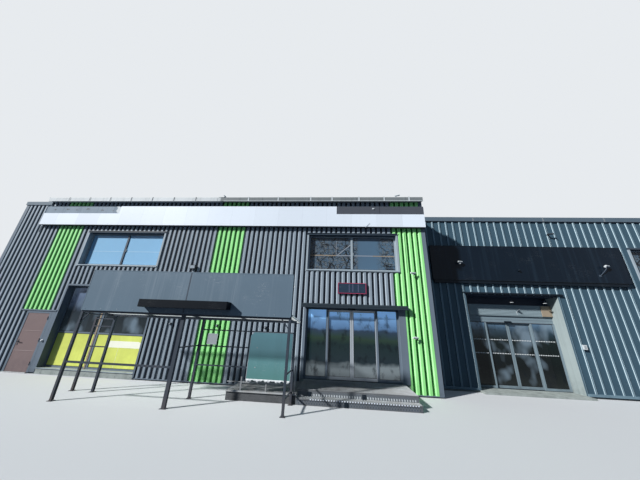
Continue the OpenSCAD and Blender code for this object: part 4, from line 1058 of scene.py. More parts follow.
def finishes() -> list[Finish]:
    """All finishes of the building.

    Returns:
        One finish for each material slot of the record, and some for the scene's own pieces.
    """
    return [
        GrainyFinish("concrete", tone(166, 174, 170), roughness=0.85, grain_height=0.002, scratches=0.0),
        Finish("wall_core", tone(120, 122, 124), roughness=0.6, streaks=0.1),
        GrainyFinish("roofing", tone(112, 113, 114), roughness=0.9, speck=tone(70, 70, 72),
                     speck_scale=140.0, foot_dirt=0.0, scratches=0.0, grain_height=0.002),
        # Ribbed sheets: the colours of their valleys are painted shade with some dirt, their lighter flank
        # colours painted highlight
        RibbedFinish("grey_sheet", tone(138, 150, 160), valley=tone(12, 20, 34), washed=tone(158, 170, 180),
                     stain=tone(92, 100, 108), roughness=0.42),
        RibbedFinish("green_sheet", tone(154, 230, 144), valley=tone(14, 84, 26), washed=tone(176, 242, 168),
                     stain=tone(100, 176, 92), roughness=0.42),
        RibbedFinish("wing_sheet", tone(114, 138, 150), valley=tone(62, 86, 100), stain=tone(54, 70, 82),
                     washed=tone(196, 214, 220), roughness=0.4, specular=0.1, streaks=0.4,
                     crest_y=WING_CREST, valley_y=1.178, washed_y=1.173, chalk=0.0),
        Finish("grey_trim", tone(104, 116, 128), roughness=0.45),
        SplitFinish("pale_coping", tone(196, 202, 204), streaks=0.45, mottle=0.4,
                    other=tone(118, 124, 126), axis=Axis.X, change=-5.65, width=0.02),
        SeamedFinish("white_sheet", tone(226, 234, 243), stain=tone(190, 196, 202), roughness=0.45,
                     streaks=0.12, mottle=0.05, pitch=1.01, seam=tone(204, 211, 219), seam_width=0.006),
        Finish("bare_metal", tone(118, 134, 148), stain=tone(78, 90, 102), roughness=0.55,
               streaks=0.7, mottle=0.5),
        Finish("dark_strip", tone(76, 80, 88), mottle=0.1),
        # The darker colour above 5.49 m, on the frames' top members, is painted shade
        SplitFinish("window_frame", tone(154, 166, 174), roughness=0.4, streaks=0.15,
                    other=tone(60, 72, 84), change=5.49, width=0.015),
        # Glazing: its colours are painted reflections, and its glow is painted light
        BranchyGlassFinish("upper_glass", tone(90, 120, 140), "glass", roughness=0.05, streaks=0.0,
                           mottle=0.05, foot_dirt=0.0, scratches=0.0, grain=3.0, grain_height=0.0002,
                           along=Axis.X, span=(-12.0, 15.0), clear=0.12, stops=UPPER_REFLECTION),
        ZonedGlassFinish("ground_glass", tone(60, 74, 84), "glass", roughness=0.04, streaks=0.05, mottle=0.3,
                         foot_dirt=0.1, scratches=0.0, grain=3.0, grain_height=0.0002, clear=0.12,
                         uneven=0.12, glow=0.3, zones=(
                             (-20.0, (1.4, 3.2), SHOP_REFLECTION_LEFT), (-10.3, (1.4, 3.2), SHOP_REFLECTION_RIGHT),
                             (-4.0, (0.3, 2.7), ENTRANCE_REFLECTION), (4.0, (0.1, 2.5), WING_REFLECTION))),
        Finish("film", tone(212, 220, 112), stain=tone(138, 146, 72), roughness=0.3, streaks=0.4, mottle=0.8),
        Finish("brown_door", tone(124, 108, 107), stain=tone(96, 86, 88), roughness=0.45, foot_dirt=0.6),
        Finish("steel", tone(176, 178, 180), roughness=0.35, metallic=0.9, streaks=0.1),
        Finish("aluminium", tone(168, 176, 184), roughness=0.35, metallic=0.2, streaks=0.1, specular=0.4),
        Finish("dark_metal", tone(58, 66, 76), stain=tone(112, 96, 84), streaks=0.35, scratches=0.8),
        Finish("black_metal", tone(18, 27, 36), stain=tone(48, 56, 64), roughness=0.42, streaks=0.4,
               specular=0.1),
        Finish("box_black", tone(12, 18, 25), "black_metal", roughness=0.45, streaks=0.2, specular=0.08),
        Finish("panel_gloss", tone(14, 26, 38), "black_metal", stain=tone(44, 60, 74), roughness=0.3,
               streaks=0.6, specular=0.1, grain=8.0, grain_height=0.004),
        Finish("display", tone(40, 56, 74), roughness=0.2, streaks=0.1),
        Finish("galvanised", tone(150, 152, 152), roughness=0.45, metallic=0.1, stain=tone(110, 104, 96)),
        Finish("step_riser", tone(100, 106, 112), "galvanised", roughness=0.6, streaks=0.4,
               stain=tone(84, 82, 80)),
        Finish("step_nosing", tone(104, 108, 112), "galvanised", stain=tone(84, 78, 70), streaks=0.5),
        Finish("shelter_panel", tone(96, 114, 128), stain=tone(146, 158, 168), roughness=0.42,
               streaks=0.4, mottle=0.2, foot_dirt=0.0, scratches=1.0),
        # The screen's colours are a painted reflection, lighter at the top against the shadow on it
        GlassFinish("screen", tone(95, 135, 140), roughness=0.25, span=(0.5, 1.8), clear=0.05,
                    streaks=0.2, mottle=0.2, foot_dirt=0.0, glow=0.45, stops=SCREEN_REFLECTION),
        Finish("white_plastic", tone(222, 225, 226), roughness=0.4, streaks=0.2),
        Finish("lap_grey", tone(70, 80, 92), "grey_sheet", roughness=0.45),
        Finish("fastener", tone(96, 106, 116), "steel", metallic=0.3, streaks=0.2),
        Finish("wing_fastener", tone(70, 88, 100), "steel", metallic=0.2, streaks=0.2),
        Finish("pale_trim", tone(196, 203, 206), "pale_coping", roughness=0.45),
        Finish("tan_bar", tone(150, 136, 118), "grey_trim", roughness=0.55),
        Finish("first_bar", tone(176, 208, 226), "grey_trim", streaks=0.0),
        Finish("pale_bar", tone(140, 148, 158), "grey_trim", streaks=0.1),
        Finish("lilac_strip", tone(176, 160, 208), "film", streaks=0.0),
        Finish("film_pale", tone(246, 246, 226), "film", roughness=0.4, streaks=0.1),
        Finish("grating", tone(176, 180, 182), "galvanised", stain=tone(124, 112, 98), roughness=0.6,
               streaks=0.0, mottle=0.8, foot_dirt=0.5),
        Finish("galvanised_plain", tone(146, 150, 153), "galvanised", stain=tone(96, 88, 78),
               metallic=0.2, streaks=0.5, mottle=0.4, foot_dirt=0.7),
        PerforatedFinish("riser_mesh", tone(112, 114, 116), "galvanised", roughness=0.6, metallic=0.1,
                         hole_pitch=0.022, hole_radius=0.008, streaks=0.4),
        Finish("wing_grey", tone(118, 134, 142), "grey_trim", roughness=0.45, streaks=0.15, mottle=0.15),
        Finish("shutter", tone(136, 152, 158), "grey_trim", roughness=0.45, streaks=0.15, mottle=0.15),
        Finish("wing_trim", tone(84, 106, 118), "wing_sheet", roughness=0.4),
        # The recess cheeks are painted lighter than the wing sheet: painted highlight
        Finish("wing_cheek", tone(156, 168, 168), "wing_sheet", roughness=0.4, streaks=0.5, mottle=0.4),
        Finish("low_coping", tone(88, 104, 116), "grey_trim", stain=tone(64, 72, 80)),
        Finish("wing_coping_joint", tone(124, 132, 138), "grey_trim"),
        Finish("hood", tone(44, 54, 62), "dark_metal", stain=tone(38, 46, 52), roughness=0.45, streaks=0.4),
        Finish("shelter_rail", tone(58, 66, 76), "galvanised", stain=tone(104, 84, 68),
               metallic=0.1, streaks=0.5, scratches=0.8),
        # The roof's underside glows: painted light
        DaylitFinish("shelter_roof", tone(226, 232, 232), "white_sheet", stain=tone(150, 152, 148),
                     streaks=0.0, mottle=0.4, glow=0.62),
        # The dark colour above 3.155 m, in the top of the recess, is painted shade
        SplitFinish("recess_head", tone(126, 142, 148), "grey_trim", streaks=0.1,
                    other=tone(26, 38, 54), change=3.155),
        FittingFinish("fitting", tone(196, 202, 204), "white_plastic", roughness=0.4, streaks=0.2),
        Finish("lamp_glass", tone(150, 160, 168), "glass", roughness=0.15, streaks=0.0, scratches=0.0),
        Finish("rubber", tone(26, 27, 29), "dark_metal", roughness=0.7, streaks=0.1, scratches=0.0),
        Finish("red_edge", tone(172, 66, 98), "display", roughness=0.35, streaks=0.0),
        Finish("display_bar", tone(96, 100, 128), "display", roughness=0.4, streaks=0.0),
    ]


# Placing pieces


class Workshop:
    """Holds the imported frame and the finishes, and puts new pieces into the scene."""

    def __init__(self, frame: dict) -> None:
        """Builds all finishes and reads which slot each CAD piece has.
        """
        self.nodes = frame["nodes"]
        self.slots = {row["node"]: row["material_slot"] for row in frame["record"]["subparts"]}
        effects = Effects()
        kinds = finishes()
        self.finish = {kind.name: kind for kind in kinds}
        self.material = {kind.name: kind.build(effects) for kind in kinds}

    def coat(self, node: str, finish: str) -> None:
        """Gives a CAD piece the material of a finish.

        Args:
            node: Name of the piece.
            finish: Name of the finish.
        """
        mesh = self.nodes[node].data
        mesh.materials.clear()
        mesh.materials.append(self.material[finish])

    def place(self, name: str, shape: Shape, finish: str, body: Body = Body.BUILDING,
              smooth: bool = False) -> bpy.types.Object:
        """Makes a piece of the scene.

        Args:
            name: Name of the piece.
            shape: Its surface, in the row frame.
            finish: Name of its finish.
            body: The CAD body that it rides on.
            smooth: Whether its faces are shaded smooth.

        Returns:
            The new object.
        """
        mesh = bpy.data.meshes.new(name)
        faces = [row for block in shape.blocks for row in block.tolist()]
        mesh.from_pydata(shape.points.tolist(), [], faces)
        mesh.polygons.foreach_set("use_smooth", np.full(len(faces), smooth))
        mesh.materials.append(self.material[finish])
        mesh.update()
        piece = bpy.data.objects.new(name, mesh)
        bpy.context.scene.collection.objects.link(piece)
        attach(piece, body.value)
        LOG.info("%s: %d faces on %s", name, len(faces), body.value)
        return piece


@dataclass
class Structure:
    """Walls, floors and every other CAD piece: only their finishes change."""

    own: dict[str, str] = field(default_factory=lambda: {
        "upper_glass": "upper_glass", "ground_glass": "ground_glass", "wing_glass_left": "ground_glass",
        "wing_glass_right": "ground_glass", "entrance_glass_left": "ground_glass",
        "entrance_glass_right": "ground_glass", "entrance_hood": "hood", "black_panel": "panel_gloss",
        "service_door_handle": "black_metal", "shelter_box": "box_black", "wing_recess_head": "recess_head",
        "wing_recess_cheeks": "wing_cheek", "landing_supports": "galvanised_plain",
        "low_copings": "low_coping", "shelter_rails": "shelter_rail", "wall_fixtures": "fitting",
        "shelter_roof": "shelter_roof", "wing_entrance_frame": "wing_grey",
        "wing_leaf_left": "wing_grey", "wing_leaf_right": "wing_grey"})

    def dress(self, shop: Workshop) -> None:
        """Coats every CAD piece with its own finish, or else with the finish of its slot."""
        for node, slot in shop.slots.items():
            shop.coat(node, self.own.get(node, slot))


# Parts that recur


MAIN_HOLES: tuple[Hole, ...] = (
    ((-13.01, -11.47), (0.0, 2.27)), ((-11.49, -7.59), (0.0, 3.26)), ((-1.8, 1.96), (0.0, 2.86)),
    ((-11.47, -7.85), (3.99, 5.59)), ((-1.79, 1.83), (3.99, 5.59)), ((-0.53, 0.55), (3.15, 3.58)),
    ((-13.86, 2.9), (5.8, 6.73)))
WING_HOLES: tuple[Hole, ...] = (
    ((4.63, 8.27), (0.0, 3.58)), ((3.44, 11.06), (3.9, 5.54)), ((11.49, 15.11), (3.99, 5.59)))


def screw(radius: float = 0.0055) -> Shape:
    """A hexagon-headed sheet screw on its washer, standing on the XY plane.

    Args:
        radius: Half width of the head.

    Returns:
        The screw.
    """
    wide = radius * 1.7
    return turned_part(((wide, 0.0), (wide, 0.0016), (radius, 0.002), (radius * 0.95, 0.0062),
                        (radius * 0.5, 0.0072)), 6)


def screws(points: np.ndarray, radius: float = 0.0055) -> Shape:
    """Sheet screws on a front wall, one at each point."""
    return to_front(screw(radius)).repeated(points)


def outside(points: np.ndarray, holes: Sequence[Hole]) -> np.ndarray:
    """Keeps the points of a wall whose X and Z lie in none of its holes.

    Args:
        points: One row of X, Y and Z for each point.
        holes: Extent along X and along Z of each hole.

    Returns:
        The rows that are left.
    """
    x, z = points[:, 0], points[:, 2]
    taken = np.zeros(len(points), bool)
    for along, upright in holes:
        taken |= (x > along[0]) & (x < along[1]) & (z > upright[0]) & (z < upright[1])
    return points[~taken]


def lattice(xs: Sequence[float], y: float, zs: Sequence[float]) -> np.ndarray:
    """All pairs of the X and Z values at one Y, one row each."""
    grid = np.stack(np.meshgrid(xs, np.asarray(zs, float), indexing="ij"), -1).reshape(-1, 2)
    return xyz(grid[:, 0], y, grid[:, 1])


def wall_strips(places: Iterable[float], half: float, depth: Pair, span: Pair,
                holes: Sequence[Hole]) -> Shape:
    """Thin upright strips on a wall, cut where a hole lies.

    Args:
        places: Middle of each strip along X.
        half: Half of a strip's width.
        depth: Front and back of the strips along Y.
        span: Foot and top of the wall.
        holes: The holes of the wall.

    Returns:
        All strips as one shape.
    """
    runs = [(place, low, high) for place in places for low, high in clear_runs(place, span, holes)]
    x, low, high = np.array(runs).T
    return boxes(xyz(x - half, depth[0], low), xyz(x + half, depth[1], high), 0.0006)


@dataclass(frozen=True)
class Pane:
    """One sheet of glass: its extent along X and Z, the Y of its front, and the body it rides on."""

    name: str
    x: Pair
    z: Pair
    front: float
    body: Body = Body.BUILDING

    def gasket(self, width: float = 0.011, proud: float = 0.006) -> Shape:
        """The rubber seal round the edge of the pane.

        Args:
            width: How far the seal covers the glass.
            proud: How far it stands before the glass.

        Returns:
            Four slim bars that meet at the corners.
        """
        return rim(self.x, self.z, (self.front - proud, self.front), width, 0.0015)


# The tall front


@dataclass
class Cladding:
    """Ribbed sheets of the tall front: their laps, screws, foot drip and cover strips."""

    foot: float = 0.05
    top: float = 6.93
    laps: tuple[float, ...] = (-14.0, -11.8, -10.8, -9.8, -8.8, -7.8, -6.8, -5.8, -4.4, -3.4, -2.4, -1.4,
                               -0.4, 0.6)
    green_laps: tuple[float, ...] = (-13.0, -12.0, -5.6, -4.6, 1.6, 2.6)
    green_runs: tuple[Pair, ...] = ((-13.0, -11.8), (-5.6, -4.4), (1.6, 2.8))
    screw_rows: tuple[float, ...] = (0.35, 1.7, 2.55, 3.78, 5.72, 6.82)
    rib_pitch: float = 0.2
    ends: Pair = (-15.0, 2.8)

    def lap(self, places: Sequence[float]) -> Shape:
        """Overlapping edges in the valleys: strips of sheet with a small fold along the free edge.

        Args:
            places: Middle of each strip along X.

        Returns:
            All strips and folds.
        """
        run = (self.foot, self.top)
        strip = wall_strips(places, 0.022, (VALLEY - 0.0016, VALLEY), run, MAIN_HOLES)
        fold = wall_strips([place + 0.021 for place in places], 0.0016, (VALLEY - 0.0045, VALLEY), run,
                           MAIN_HOLES)
        return joined([strip, fold])

    def build(self, shop: Workshop) -> None:
        """Places the trim of the ribbed front.

        Args:
            shop: The workshop.
        """
        shop.place("front_laps_grey", self.lap(self.laps), "lap_grey")
        shop.place("front_laps_green", self.lap(self.green_laps), "green_sheet")
        first, last = (round(end / self.rib_pitch) for end in self.ends)
        xs = np.arange(first, last, 2) * self.rib_pitch
        heads = outside(lattice(xs, VALLEY, self.screw_rows), MAIN_HOLES)
        green = np.zeros(len(heads), bool)
        for low, high in self.green_runs:
            green |= (heads[:, 0] >= low - 0.01) & (heads[:, 0] <= high + 0.01)
        shop.place("front_screws_grey", screws(heads[~green]), "fastener")
        shop.place("front_screws_green", screws(heads[green]), "green_sheet")
        drip = [(-0.152, 0.034), (-0.15, 0.03), (-0.148, 0.052), (-0.1, 0.058), (-0.1, 0.062),
                (-0.1495, 0.056)]
        runs = ((-14.99, -13.02), (-7.58, -1.62), (1.72, 2.88))
        shop.place("front_foot_drip", joined([prism(drip, run, Axis.X) for run in runs]), "grey_trim")
        cover = boxes((-13.905, -0.1495, 0.06), (-13.845, -0.145, 5.8), 0.001)
        edge = boxes((-13.91, -0.152, 0.06), (-13.9, -0.1455, 5.8), 0.001)
        shop.place("left_cover_strip", joined([cover, edge]), "window_frame")
        z = 5.58
        outline = [(CREST, z + 0.012), (-0.178, z + 0.002), (-0.18, z - 0.014), (-0.176, z - 0.014),
                   (-0.174, z), (CREST, z + 0.007)]
        drips = [prism(outline, (x0 - 0.02, x1 + 0.02), Axis.X)
                 for x0, x1 in ((-11.46, -7.86), (-1.78, 1.82))]
        shop.place("window_head_drips", joined(drips), "window_frame")


@dataclass
class Coping:
    """The capping of the tall front: a pale left run, a curled break and a weathered right run."""

    front: float = -0.353
    low: float = 6.95
    top: float = 7.15
    left: Pair = (-13.85, -5.65)
    right: Pair = (-5.5, 2.895)
    clips: tuple[float, ...] = (-4.4, -3.1, -1.7, -0.8, 0.32, 1.35, 2.35)

    def straps(self, places: np.ndarray, width: float, proud: float) -> Shape:
        """Bands that lie over the front and the top of the capping.

        Args:
            places: Middle of each band along X.
            width: Width of a band.
            proud: How far it stands off the capping.

        Returns:
            The upright and the level part of all bands.
        """
        left, right = places - width / 2, places + width / 2
        front = boxes(xyz(left, self.front - proud, self.low - 0.004),
                      xyz(right, self.front, self.top - 0.012), 0.001)
        over = boxes(xyz(left, self.front + 0.006, self.top), xyz(right, 0.12, self.top + proud), 0.001)
        return joined([front, over])

    def curl(self) -> Shape:
        """The bent end of the left run.

        The outline is an arc whose radius shrinks from 78 mm to 18 mm over five eighths of a turn, with
        a sheet's thickness inside it, carried along Y.

        Returns:
            The curled strip of sheet.
        """
        turn = np.linspace(-0.5 * np.pi, 0.75 * np.pi, 22)
        radius = np.linspace(0.078, 0.018, 22)
        middle = np.array([self.left[1] + 0.11, self.top + 0.07])
        way = np.stack([np.cos(turn), np.sin(turn)], -1)
        outer = middle + radius[:, None] * way
        inner = (middle + (radius[:, None] - 0.004) * way)[::-1]
        lead = [(self.left[1] - 0.1, self.top + 0.006), (self.left[1] + 0.04, self.top)]
        tail = [(self.left[1] + 0.04, self.top - 0.004), (self.left[1] - 0.1, self.top + 0.002)]
        outline = np.concatenate([lead, outer, inner, tail])
        return prism(outline, (-0.345, -0.12), Axis.Y)

    def build(self, shop: Workshop) -> None:
        """Places the joints, lips and ends of the capping.

        Args:
            shop: The workshop.
        """
        joints = np.arange(self.left[0] + 1.01, self.left[1] - 0.2, 1.01)
        shop.place("coping_joints_left", self.straps(joints, 0.022, 0.0025), "dark_strip")
        shop.place("coping_clips_right", self.straps(np.array(self.clips), 0.055, 0.003), "pale_trim")
        shop.place("coping_curl", self.curl(), "pale_trim")
        lip = level_bars([self.right], (self.front - 0.006, self.front), (self.low - 0.008, self.low + 0.016),
                         0.002)
        shop.place("coping_lip_right", lip, "pale_trim")
        lip = level_bars([self.left], (self.front - 0.005, self.front), (self.low - 0.006, self.low + 0.01),
                         0.002)
        shop.place("coping_lip_left", lip, "pale_coping")
        roll = turned_part(((0.02, 0.0), (0.024, 0.004), (0.024, 0.42), (0.02, 0.424)), 14)
        roll = roll.turned(facing((0, 1, 0))).moved((self.left[0] - 0.012, self.front + 0.01,
                                                     self.top - 0.02))
        shop.place("coping_rolled_end", roll, "pale_coping")
        back = level_bars([(self.left[0], self.right[1])], (self.front + 0.01, self.front + 0.05),
                          (self.low + 0.012, self.low + 0.03), 0.002)
        shop.place("coping_inner_fold", back, "dark_strip")


@dataclass
class FasciaBand:
    """The white sheet band: foot lip, screws, torn bare strip, dark strip, rod and bracket."""

    front: float = -0.295
    span: Pair = (-13.85, 2.895)
    low: float = 5.82
    top: float = 6.72
    strip_low: float = 6.37
    marks: tuple[Triple, ...] = ((-13.39, 6.55, 0.09), (-12.78, 6.57, 0.12), (-12.32, 6.54, 0.08),
                                 (-11.79, 6.59, 0.13), (-11.08, 6.53, 0.1), (-10.55, 6.5, 0.06))

    def mark(self, x: float, z: float, size: float, y: float) -> Shape:
        """A patch of old glue: its edge is an ellipse whose radius swells and shrinks in waves.

        Args:
            x: Middle of the patch along X.
            z: Its middle height.
            size: Its half width, about.
            y: Where its face lies.

        Returns:
            The thin patch.
        """
        turn = np.linspace(0, 2 * np.pi, 20, endpoint=False)
        radius = size * (0.6 + 0.22 * np.cos(3 * turn + x) + 0.12 * np.cos(5 * turn))
        outline = np.stack([x + radius * np.cos(turn), z + 0.45 * radius * np.sin(turn)], -1)
        return prism(outline, (y, y + 0.0015), Axis.Y)

    def build(self, shop: Workshop) -> None:
        """Places everything that the band carries.

        Args:
            shop: The workshop.
        """
        # The foot lip is a real fold; its dark colour is painted shade for the thin shadow line under the
        # band
        foot = [(self.front - 0.006, self.low - 0.014), (self.front - 0.003, self.low - 0.016),
                (self.front + 0.001, self.low), (CREST, self.low), (CREST, self.low - 0.004),
                (self.front + 0.004, self.low - 0.004)]
        shop.place("band_foot_lip", prism(foot, self.span, Axis.X), "dark_strip")
        head = level_bars([self.span], (self.front + 0.004, CREST), (self.top, self.top + 0.004))
        shop.place("band_head_lip", head, "grey_trim")
        x0, x1 = self.span
        for name, run in (("band_edge_left", (x0 - 0.004, x0)), ("band_edge_right", (x1, x1 + 0.004))):
            shop.place(name, level_bars([run], (self.front, CREST), (self.low, self.top)), "white_sheet")
        xs = np.arange(x0 + 0.25, x1, 0.505)
        spots = np.concatenate([lattice(xs, self.front, (self.low + 0.05, self.strip_low - 0.05)),
                                lattice(xs[(xs > -9.9) & (xs < -0.65)], self.front, (self.top - 0.05,))])
        shop.place("band_rivets", screws(spots, 0.004), "pale_trim")
        marks = [self.mark(x, z, size, -0.282) for x, z, size in self.marks]
        shop.place("bare_strip_marks", joined(marks), "dark_strip")
        torn = [(-10.25, 6.372), (-10.19, 6.4), (-10.14, 6.46), (-10.2, 6.52), (-10.13, 6.61), (-10.22, 6.66),
                (-10.3, 6.718), (-10.42, 6.718), (-10.36, 6.6), (-10.4, 6.5), (-10.34, 6.42)]
        shop.place("bare_strip_torn_edge", prism(torn, (-0.2835, -0.28), Axis.Y), "pale_trim")
        seam = boxes((1.142, -0.293, 6.372), (1.153, -0.29, 6.718), 0.0008)
        ends = boxes((-0.6, -0.2935, 6.372), (-0.588, -0.29, 6.718), 0.0008)
        shop.place("dark_strip_seams", joined([seam, ends]), "black_metal")
        spots = lattice(np.arange(-0.45, 2.8, 0.4), -0.29, (6.4, 6.69))
        shop.place("dark_strip_rivets", screws(spots, 0.004), "dark_strip")
        rod = sweep([(0.735, -0.301, 5.97), (0.655, -0.304, 5.885), (0.556, -0.301, 5.78)],
                    round_section(0.006, 8))
        shop.place("band_rod", rod, "aluminium")
        base = boxes((0.86, -0.302, 6.585), (0.94, -0.29, 6.65), 0.003)
        arm = boxes((0.885, -0.33, 6.6), (0.915, -0.3, 6.62), 0.002)
        shop.place("band_bracket", joined([base, arm]), "pale_trim")


@dataclass
class UpperWindows:
    """The three upper windows: seals, sills with a drip, mullion covers, and the bars and stay behind."""

    panes: tuple[Pane, ...] = (
        Pane("upper_1a", (-11.33, -9.69), (4.13, 5.45), 0.041),
        Pane("upper_1b", (-9.63, -7.99), (4.13, 5.45), 0.041),
        Pane("upper_2a", (-1.65, -0.01), (4.13, 5.45), 0.041),
        Pane("upper_2b", (0.05, 1.69), (4.13, 5.45), 0.041),
        Pane("upper_3a", (11.63, 13.27), (4.13, 5.45), 1.346),
        Pane("upper_3b", (13.33, 14.97), (4.13, 5.45), 1.346))
    sills: tuple[Triple, ...] = ((-11.46, -7.86, CREST), (-1.78, 1.82, CREST), (11.5, 15.1, WING_CREST))
    bar_depth: Pair = (0.038, 0.0405)
    bar_z: Pair = (4.675, 4.71)

    def build(self, shop: Workshop) -> None:
        """Places the seals, sills, stay, bars, catches and mullion covers.

        Args:
            shop: The workshop.
        """
        shop.place("upper_window_seals", joined([pane.gasket() for pane in self.panes]), "rubber")
        parts = []
        for x0, x1, crest in self.sills:
            outline = [(crest + 0.165, 4.078), (crest - 0.034, 4.052), (crest - 0.036, 4.028),
                       (crest - 0.031, 4.028), (crest - 0.029, 4.047), (crest + 0.165, 4.071)]
            parts.append(prism(outline, (x0 + 0.02, x1 - 0.02), Axis.X))
        shop.place("upper_window_sills", joined(parts), "window_frame")
        section = np.array([(-0.016, -0.0015), (0.016, -0.0015), (0.016, 0.0015), (-0.016, 0.0015)])
        stay = sweep([(-0.56, 0.0385, 4.7), (-0.3, 0.0385, 4.92), (-0.03, 0.0385, 5.14)], section,
                     (0.0, 1.0, 0.0))
        upright = boxes((-0.61, 0.0375, 4.71), (-0.592, 0.0395, 5.3), 0.0006)
        shop.place("second_window_stay", joined([stay, upright]), "pale_bar")
        bar = level_bars([(-1.636, -0.6), (0.85, 1.676)], self.bar_depth, self.bar_z)
        shop.place("second_window_bar_tan", bar, "tan_bar")
        bar = level_bars([(-0.6, -0.024), (0.064, 0.85)], self.bar_depth, self.bar_z)
        shop.place("second_window_bar_pale", bar, "pale_bar")
        bar = level_bars([(-11.316, -9.704), (-9.616, -8.004)], self.bar_depth, (4.7, 4.716))
        shop.place("first_window_bar", bar, "first_bar")
        handles = lattice(np.array([-9.6, 0.08, 13.36]), 0.0, (4.75,))
        handles[:, 1] = (0.018, 0.018, 1.322)
        grip = boxes((-0.012, -0.006, -0.06), (0.012, 0.008, 0.06), 0.004)
        shop.place("upper_window_catches", grip.repeated(handles), "window_frame")
        covers = boxes([(-0.022, 0.012, 4.125), (13.258, 1.317, 4.125)],
                       [(0.062, 0.0255, 5.455), (13.342, 1.3305, 5.455)], 0.003)
        shop.place("window_mullion_covers", covers, "window_frame")
        dark = boxes((-9.702, 0.012, 4.125), (-9.618, 0.0255, 5.455), 0.003)
        shop.place("first_mullion_cover", dark, "lap_grey")


@dataclass
class ShopWindow:
    """The shop window: seals, film edges, the tan mullion cover, lilac strips and the sill drip."""

    panes: tuple[Pane, ...] = (Pane("shop_1", (-11.37, -9.79), (1.46, 3.14), 0.101),
                               Pane("shop_2", (-9.67, -7.71), (1.46, 3.14), 0.101))
    film: tuple[Pane, ...] = (Pane("film_1", (-11.37, -9.79), (0.26, 1.4), 0.101),
                              Pane("film_2", (-9.67, -7.71), (0.26, 1.4), 0.101))

    def build(self, shop: Workshop) -> None:
        """Places the trim of the shop window.

        Args:
            shop: The workshop.
        """
        shop.place("shop_window_seals", joined([pane.gasket(0.014) for pane in self.panes + self.film]),
                   "rubber")
        cover = boxes((-9.82, 0.074, 0.21), (-9.755, 0.085, 3.19), 0.004)
        feet = np.array([0.6, 1.42, 2.2, 2.95])
        clip = boxes(xyz(-9.83, 0.07, feet), xyz(-9.745, 0.085, feet + 0.03), 0.002)
        shop.place("shop_mullion_cover", joined([cover, clip]), "tan_bar")
        strips = boxes([(-11.36, 0.114, 2.93), (-11.36, 0.114, 2.84)],
                       [(-10.78, 0.117, 2.972), (-11.0, 0.117, 2.87)], 0.001)
        shop.place("shop_glass_strips", strips, "lilac_strip")
        turn = np.linspace(0.5 * np.pi, 0, 10)
        corner = np.stack([-7.98 + 0.18 * np.cos(turn), 1.01 + 0.18 * np.sin(turn)], -1)
        outline = np.concatenate([[(-9.19, 0.96), (-9.19, 1.08), (-9.08, 1.19)], corner, [(-7.8, 0.96)]])
        shop.place("film_pale_field", prism(outline, (0.0985, 0.1005), Axis.Y), "film_pale")
        seams = boxes([(-10.62, 0.0985, 0.27), (-8.7, 0.0985, 0.27)],
                      [(-10.612, 0.1005, 1.39), (-8.692, 0.1005, 0.95)], 0.0005)
        shop.place("film_sheet_edges", seams, "film_pale")
        drip = [(CREST, 0.204), (-0.168, 0.196), (-0.17, 0.178), (-0.166, 0.178), (-0.164, 0.19),
                (CREST, 0.198)]
        shop.place("shop_sill_drip", prism(drip, (-11.43, -7.65), Axis.X), "window_frame")
        bolts = lattice(np.arange(-11.2, -7.7, 0.58), CREST, (0.06,))
        shop.place("shop_plinth_anchors", screws(bolts, 0.007), "fastener")


@dataclass
class ServiceDoor:
    """The brown service door: pressed seams, folds, lock and kick plates, threshold and wall knob."""

    face: float = -0.14
    leaf: Pair = (-12.65, -11.75)
    seams: tuple[float, ...] = (0.725, 1.42)

    def build(self, shop: Workshop) -> None:
        """Places the door's trim, on the leaf where it turns with it.

        Args:
            shop: The workshop.
        """
        x0, x1 = self.leaf
        ridge = prism([(self.face, -0.014), (self.face - 0.004, -0.008), (self.face - 0.004, 0.008),
                       (self.face, 0.014)], (x0 + 0.004, x1 - 0.004), Axis.X)
        seams = ridge.repeated(xyz(0.0, 0.0, self.seams))
        shop.place("service_door_seams", seams, "brown_door", Body.SERVICE_DOOR)
        folds = level_bars([(x0 + 0.002, x0 + 0.016), (x1 - 0.016, x1 - 0.002)],
                           (self.face - 0.0025, self.face), (0.04, 2.07))
        shop.place("service_door_folds", folds, "brown_door", Body.SERVICE_DOOR)
        plate = boxes((x0 + 0.045, self.face - 0.003, 0.9), (x0 + 0.085, self.face, 1.12), 0.0014)
        barrel = turned_part(((0.015, 0.0), (0.017, 0.002), (0.017, 0.008), (0.012, 0.01)), 14)
        barrel = to_front(barrel).moved((x0 + 0.065, self.face - 0.003, 0.945))
        shop.place("service_door_lock_plate", joined([plate, barrel]), "dark_metal", Body.SERVICE_DOOR)
        kick = boxes((x0 + 0.03, self.face - 0.0016, 0.055), (x1 - 0.03, self.face, 0.19), 0.0008)
        shop.place("service_door_kick_plate", kick, "brown_door", Body.SERVICE_DOOR)
        tread = boxes((x0 - 0.004, -0.172, 0.0), (x1 + 0.004, -0.085, 0.026), 0.003)
        ys = np.array([-0.166, -0.156])
        ribs = boxes(xyz(x0, ys, 0.026), xyz(x1, ys + 0.004, 0.029), 0.001)
        shop.place("service_door_threshold", joined([tread, ribs]), "steel")
        knob = turned_part(((0.045, 0.0), (0.048, 0.006), (0.046, 0.018), (0.03, 0.03), (0.026, 0.046),
                            (0.016, 0.054)), 18)
        shop.place("wall_knob", to_front(knob).moved((-11.6, -0.148, 1.1)), "white_plastic", smooth=True)
        spots = lattice(np.array([-11.7, -11.52]), -0.148, (0.3, 0.9, 1.5, 2.1))
        shop.place("cover_plate_screws", screws(spots), "fastener")


